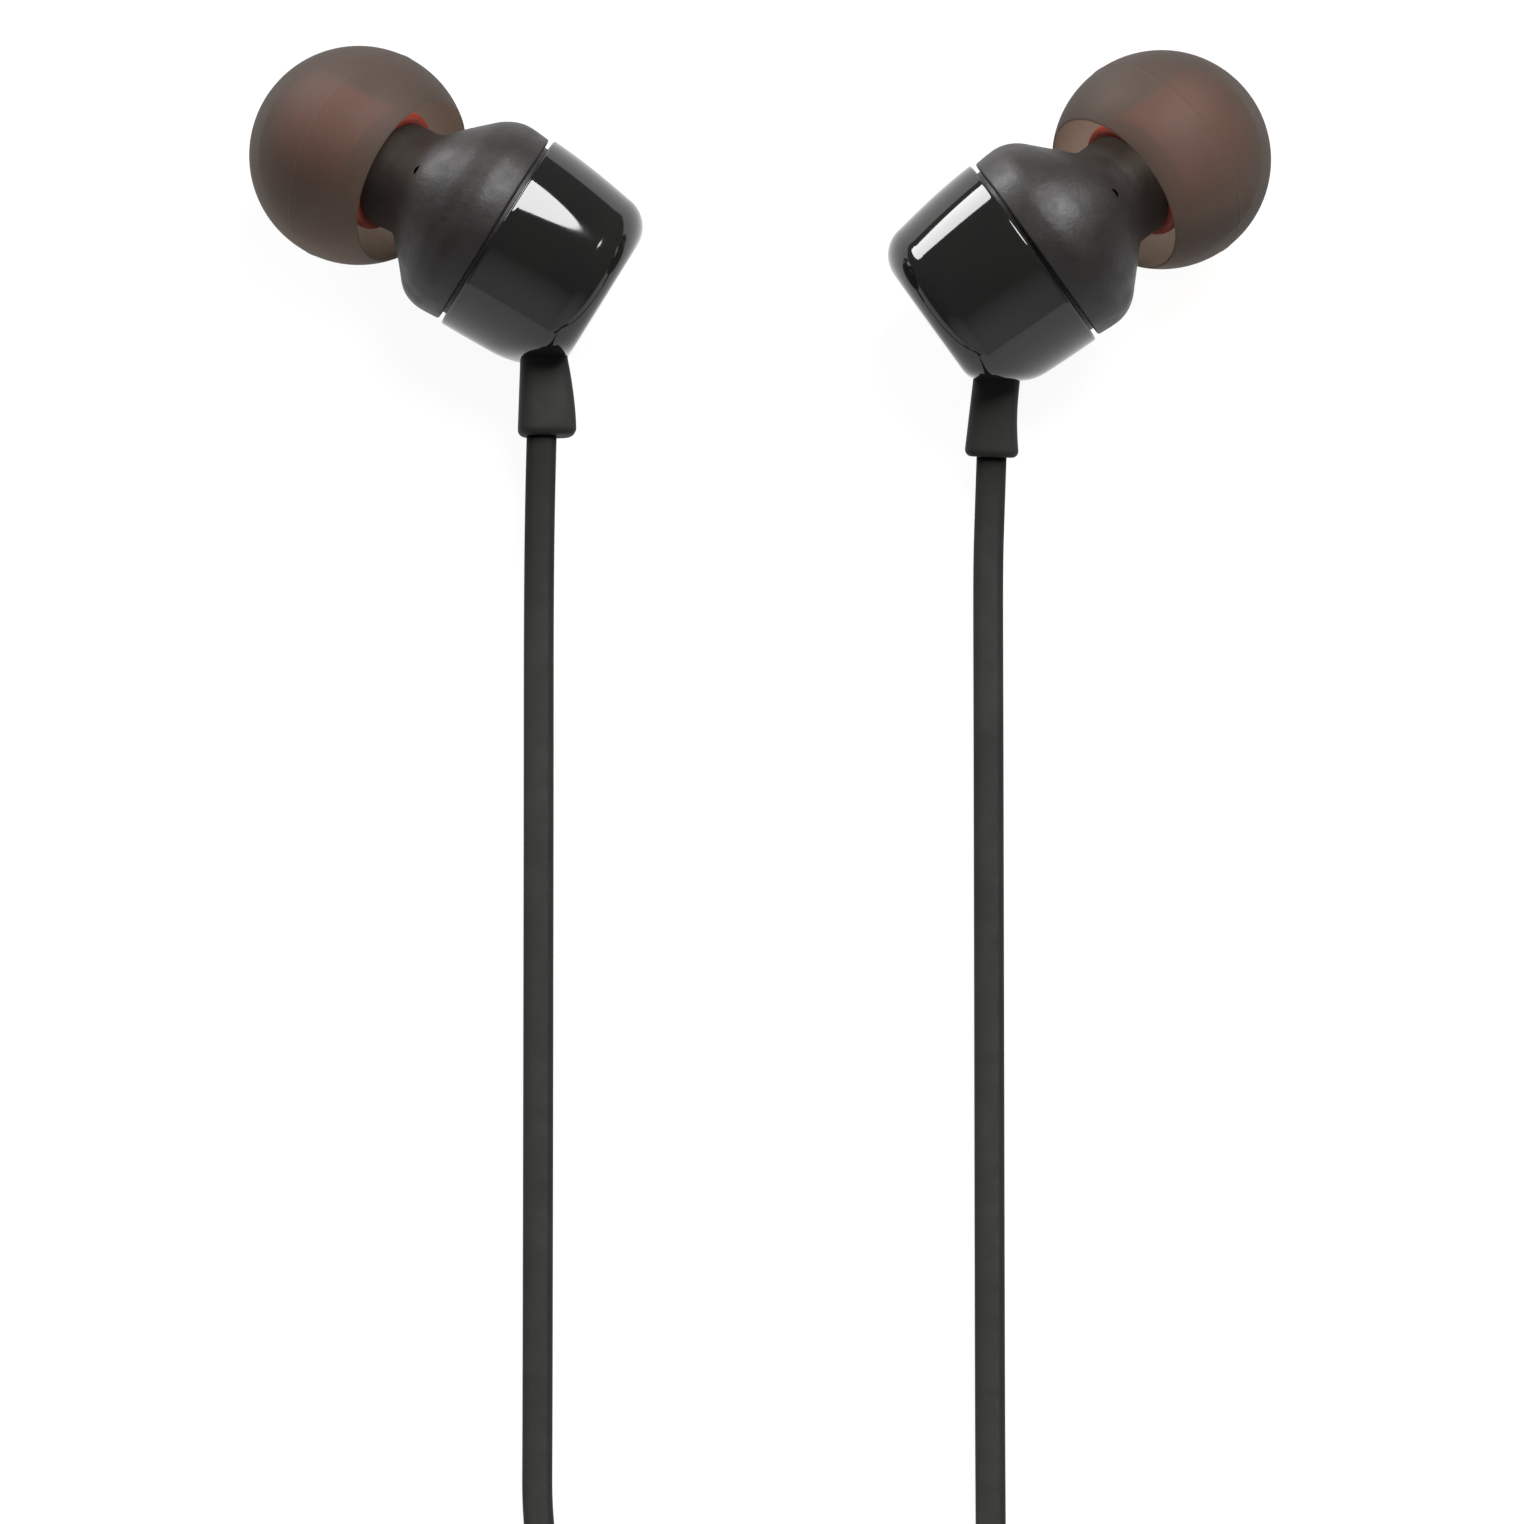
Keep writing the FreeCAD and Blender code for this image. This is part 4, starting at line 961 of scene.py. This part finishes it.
# The same smoky silicone with a far lighter colour, for the dome's inside faces: painted light, shining through
# the thin wall from behind.
DOME_INSIDE_PAINTED_LIGHT = silicone_dome("silicone_dome_inside_painted_light", (0.15, 0.127, 0.109), (0.18, 0.152, 0.131))
# A darker copy of the core's red: painted shade on the core's back end, where the dome's rim and the neck shade
# it.
CORE_PAINTED_SHADE = moulded("silicone_core_painted_shade", (0.30, 0.040, 0.020), (0.26, 0.032, 0.016), (0.44, 0.56),
                      4000, 0.15)
# A moulded surface: its two colours, its least and most roughness, its grain's fineness and strength, and its
# specular level where that isn't 0.5. A metal: its colour and roughness.
SURFACES = (
    ("silicone_dome", silicone_dome, (0.022, 0.019, 0.017), (0.030, 0.026, 0.023)),
    ("silicone_core", moulded, (0.78, 0.15, 0.07), (0.70, 0.12, 0.055), (0.40, 0.52), 4000, 0.15),
    ("matte_shell", moulded, (0.010, 0.0088, 0.0082), (0.014, 0.0122, 0.0113), (0.42, 0.56), 2600, 0.9, 0.34),
    ("gloss_shell", moulded, (0.006, 0.006, 0.006), (0.008, 0.008, 0.007), (0.035, 0.06), 300, 0.02),
    ("soft_sleeve", moulded, (0.0155, 0.0150, 0.0140), (0.0195, 0.0190, 0.0178), (0.60, 0.70), 3600, 0.3, 0.14),
    ("cord_jacket", moulded, (0.0115, 0.0115, 0.010), (0.0150, 0.0150, 0.0132), (0.58, 0.68), 3200, 0.2, 0.10),
    ("remote_shell", moulded, (0.012, 0.0115, 0.011), (0.016, 0.015, 0.0145), (0.44, 0.56), 2800, 0.7, 0.34),
    ("button_cap", moulded, (0.010, 0.010, 0.010), (0.013, 0.013, 0.013), (0.20, 0.28), 2500, 0.01, 0.42),
    ("steel", metal, (0.62, 0.62, 0.60), 0.28),
    ("magnet", metal, (0.50, 0.50, 0.52), 0.32),
    ("copper", metal, (0.78, 0.36, 0.18), 0.30),
    ("film", moulded, (0.55, 0.50, 0.42), (0.60, 0.55, 0.46), (0.20, 0.30), 2600, 0.1),
    ("frame_plastic", moulded, (0.05, 0.05, 0.055), (0.06, 0.06, 0.065), (0.4, 0.5), 3000, 0.3),
    ("board", moulded, (0.015, 0.13, 0.05), (0.02, 0.17, 0.07), (0.25, 0.4), 2400, 0.2),
    ("paper", moulded, (0.70, 0.69, 0.64), (0.78, 0.77, 0.72), (0.8, 0.9), 2800, 0.8),
    ("gold_contact", metal, (0.90, 0.66, 0.30), 0.16),
    ("insulation", moulded, (0.02, 0.02, 0.02), (0.025, 0.025, 0.025), (0.3, 0.4), 3000, 0.2),
    ("tie_band", moulded, (0.018, 0.018, 0.019), (0.022, 0.022, 0.023), (0.5, 0.62), 3000, 0.4, 0.3),
)
MATERIALS = {name: make(name, *values) for name, make, *values in SURFACES}


def dress_nodes():
    """Every CAD node gets the material of its slot."""
    for entry in frame["record"]["subparts"]:
        node = nodes[entry["node"]]
        for slot in node.material_slots:
            slot.material = MATERIALS[entry["material_slot"]]


# Light and floor

LIGHT_AIM = Vector((0, 0, 0.006))
FLOOR_SIZE = 6
FLOOR_COLOUR = (0.07, 0.07, 0.07, 1)
FLOOR_GLOW = 0.94
GLOW_SPAN = (0.66, 0.97)
GLOW_LEVELS = (0.15, 0.80)
# Each soft box: its direction (to the camera's right, its up and towards it), its distance, width and height in
# metres, and its radiance.
SOFT_BOXES = {
    "left_box": ((0.31, 0.685, 0.66), 0.6, 0.31, 0.50, 15),
    "right_box": ((-0.585, 0.81, -0.02), 0.5, 0.30, 0.22, 12),
}


def soft_box(name, direction, distance, width, height, radiance):
    data = bpy.data.lights.new(name, "AREA")
    data.shape = "ELLIPSE"
    data.size = width
    data.size_y = height
    data.energy = radiance * math.pi * width * height
    light = bpy.data.objects.new(name, data)
    bpy.context.scene.collection.objects.link(light)
    light.location = LIGHT_AIM + direction.normalized() * distance
    light.rotation_mode = "QUATERNION"
    light.rotation_quaternion = (LIGHT_AIM - light.location).to_track_quat("-Z", "Y")


def camera_direction(right, up, near):
    """In the part's frame, a direction given along the camera's right, its up and towards it."""
    rise = math.radians(ELEVATION)
    towards_y = up * math.sin(rise) - near * math.cos(rise)
    return Vector((right, towards_y, up * math.cos(rise) + near * math.sin(rise)))


def make_floor():
    bpy.ops.mesh.primitive_plane_add(size=FLOOR_SIZE, location=(0, 0, 0))
    floor = bpy.context.object
    floor.name = "floor"
    material, tree, shader = new_material("floor")
    shader.inputs["Base Color"].default_value = FLOOR_COLOUR
    shader.inputs["Roughness"].default_value = 0.9
    shader.inputs["Specular IOR Level"].default_value = 0.1
    shader.inputs["Emission Color"].default_value = (1, 1, 1, 1)
    shader.inputs["Emission Strength"].default_value = FLOOR_GLOW
    floor.data.materials.append(material)


def make_light():
    """A room that is brighter towards the front, and two soft boxes."""
    world = bpy.data.worlds.new("world")
    bpy.context.scene.world = world
    world.use_nodes = True
    room = world.node_tree
    directions = room.nodes.new("ShaderNodeTexCoord")
    facing = room.nodes.new("ShaderNodeVectorMath")
    facing.operation = "DOT_PRODUCT"
    facing.inputs[1].default_value = (0, -1, 0)
    room.links.new(directions.outputs["Generated"], facing.inputs[0])
    glow = ramp(room, facing.outputs["Value"], *GLOW_SPAN, *GLOW_LEVELS)
    room.links.new(glow, room.nodes["Background"].inputs["Color"])
    room.nodes["Background"].inputs["Strength"].default_value = 1.0
    for name, (place, *box) in SOFT_BOXES.items():
        soft_box(name, camera_direction(*place), *box)
    bpy.context.scene.view_settings.view_transform = "Standard"


make_camera()
make_cords()
make_earpieces()
dress_nodes()
make_floor()
make_light()
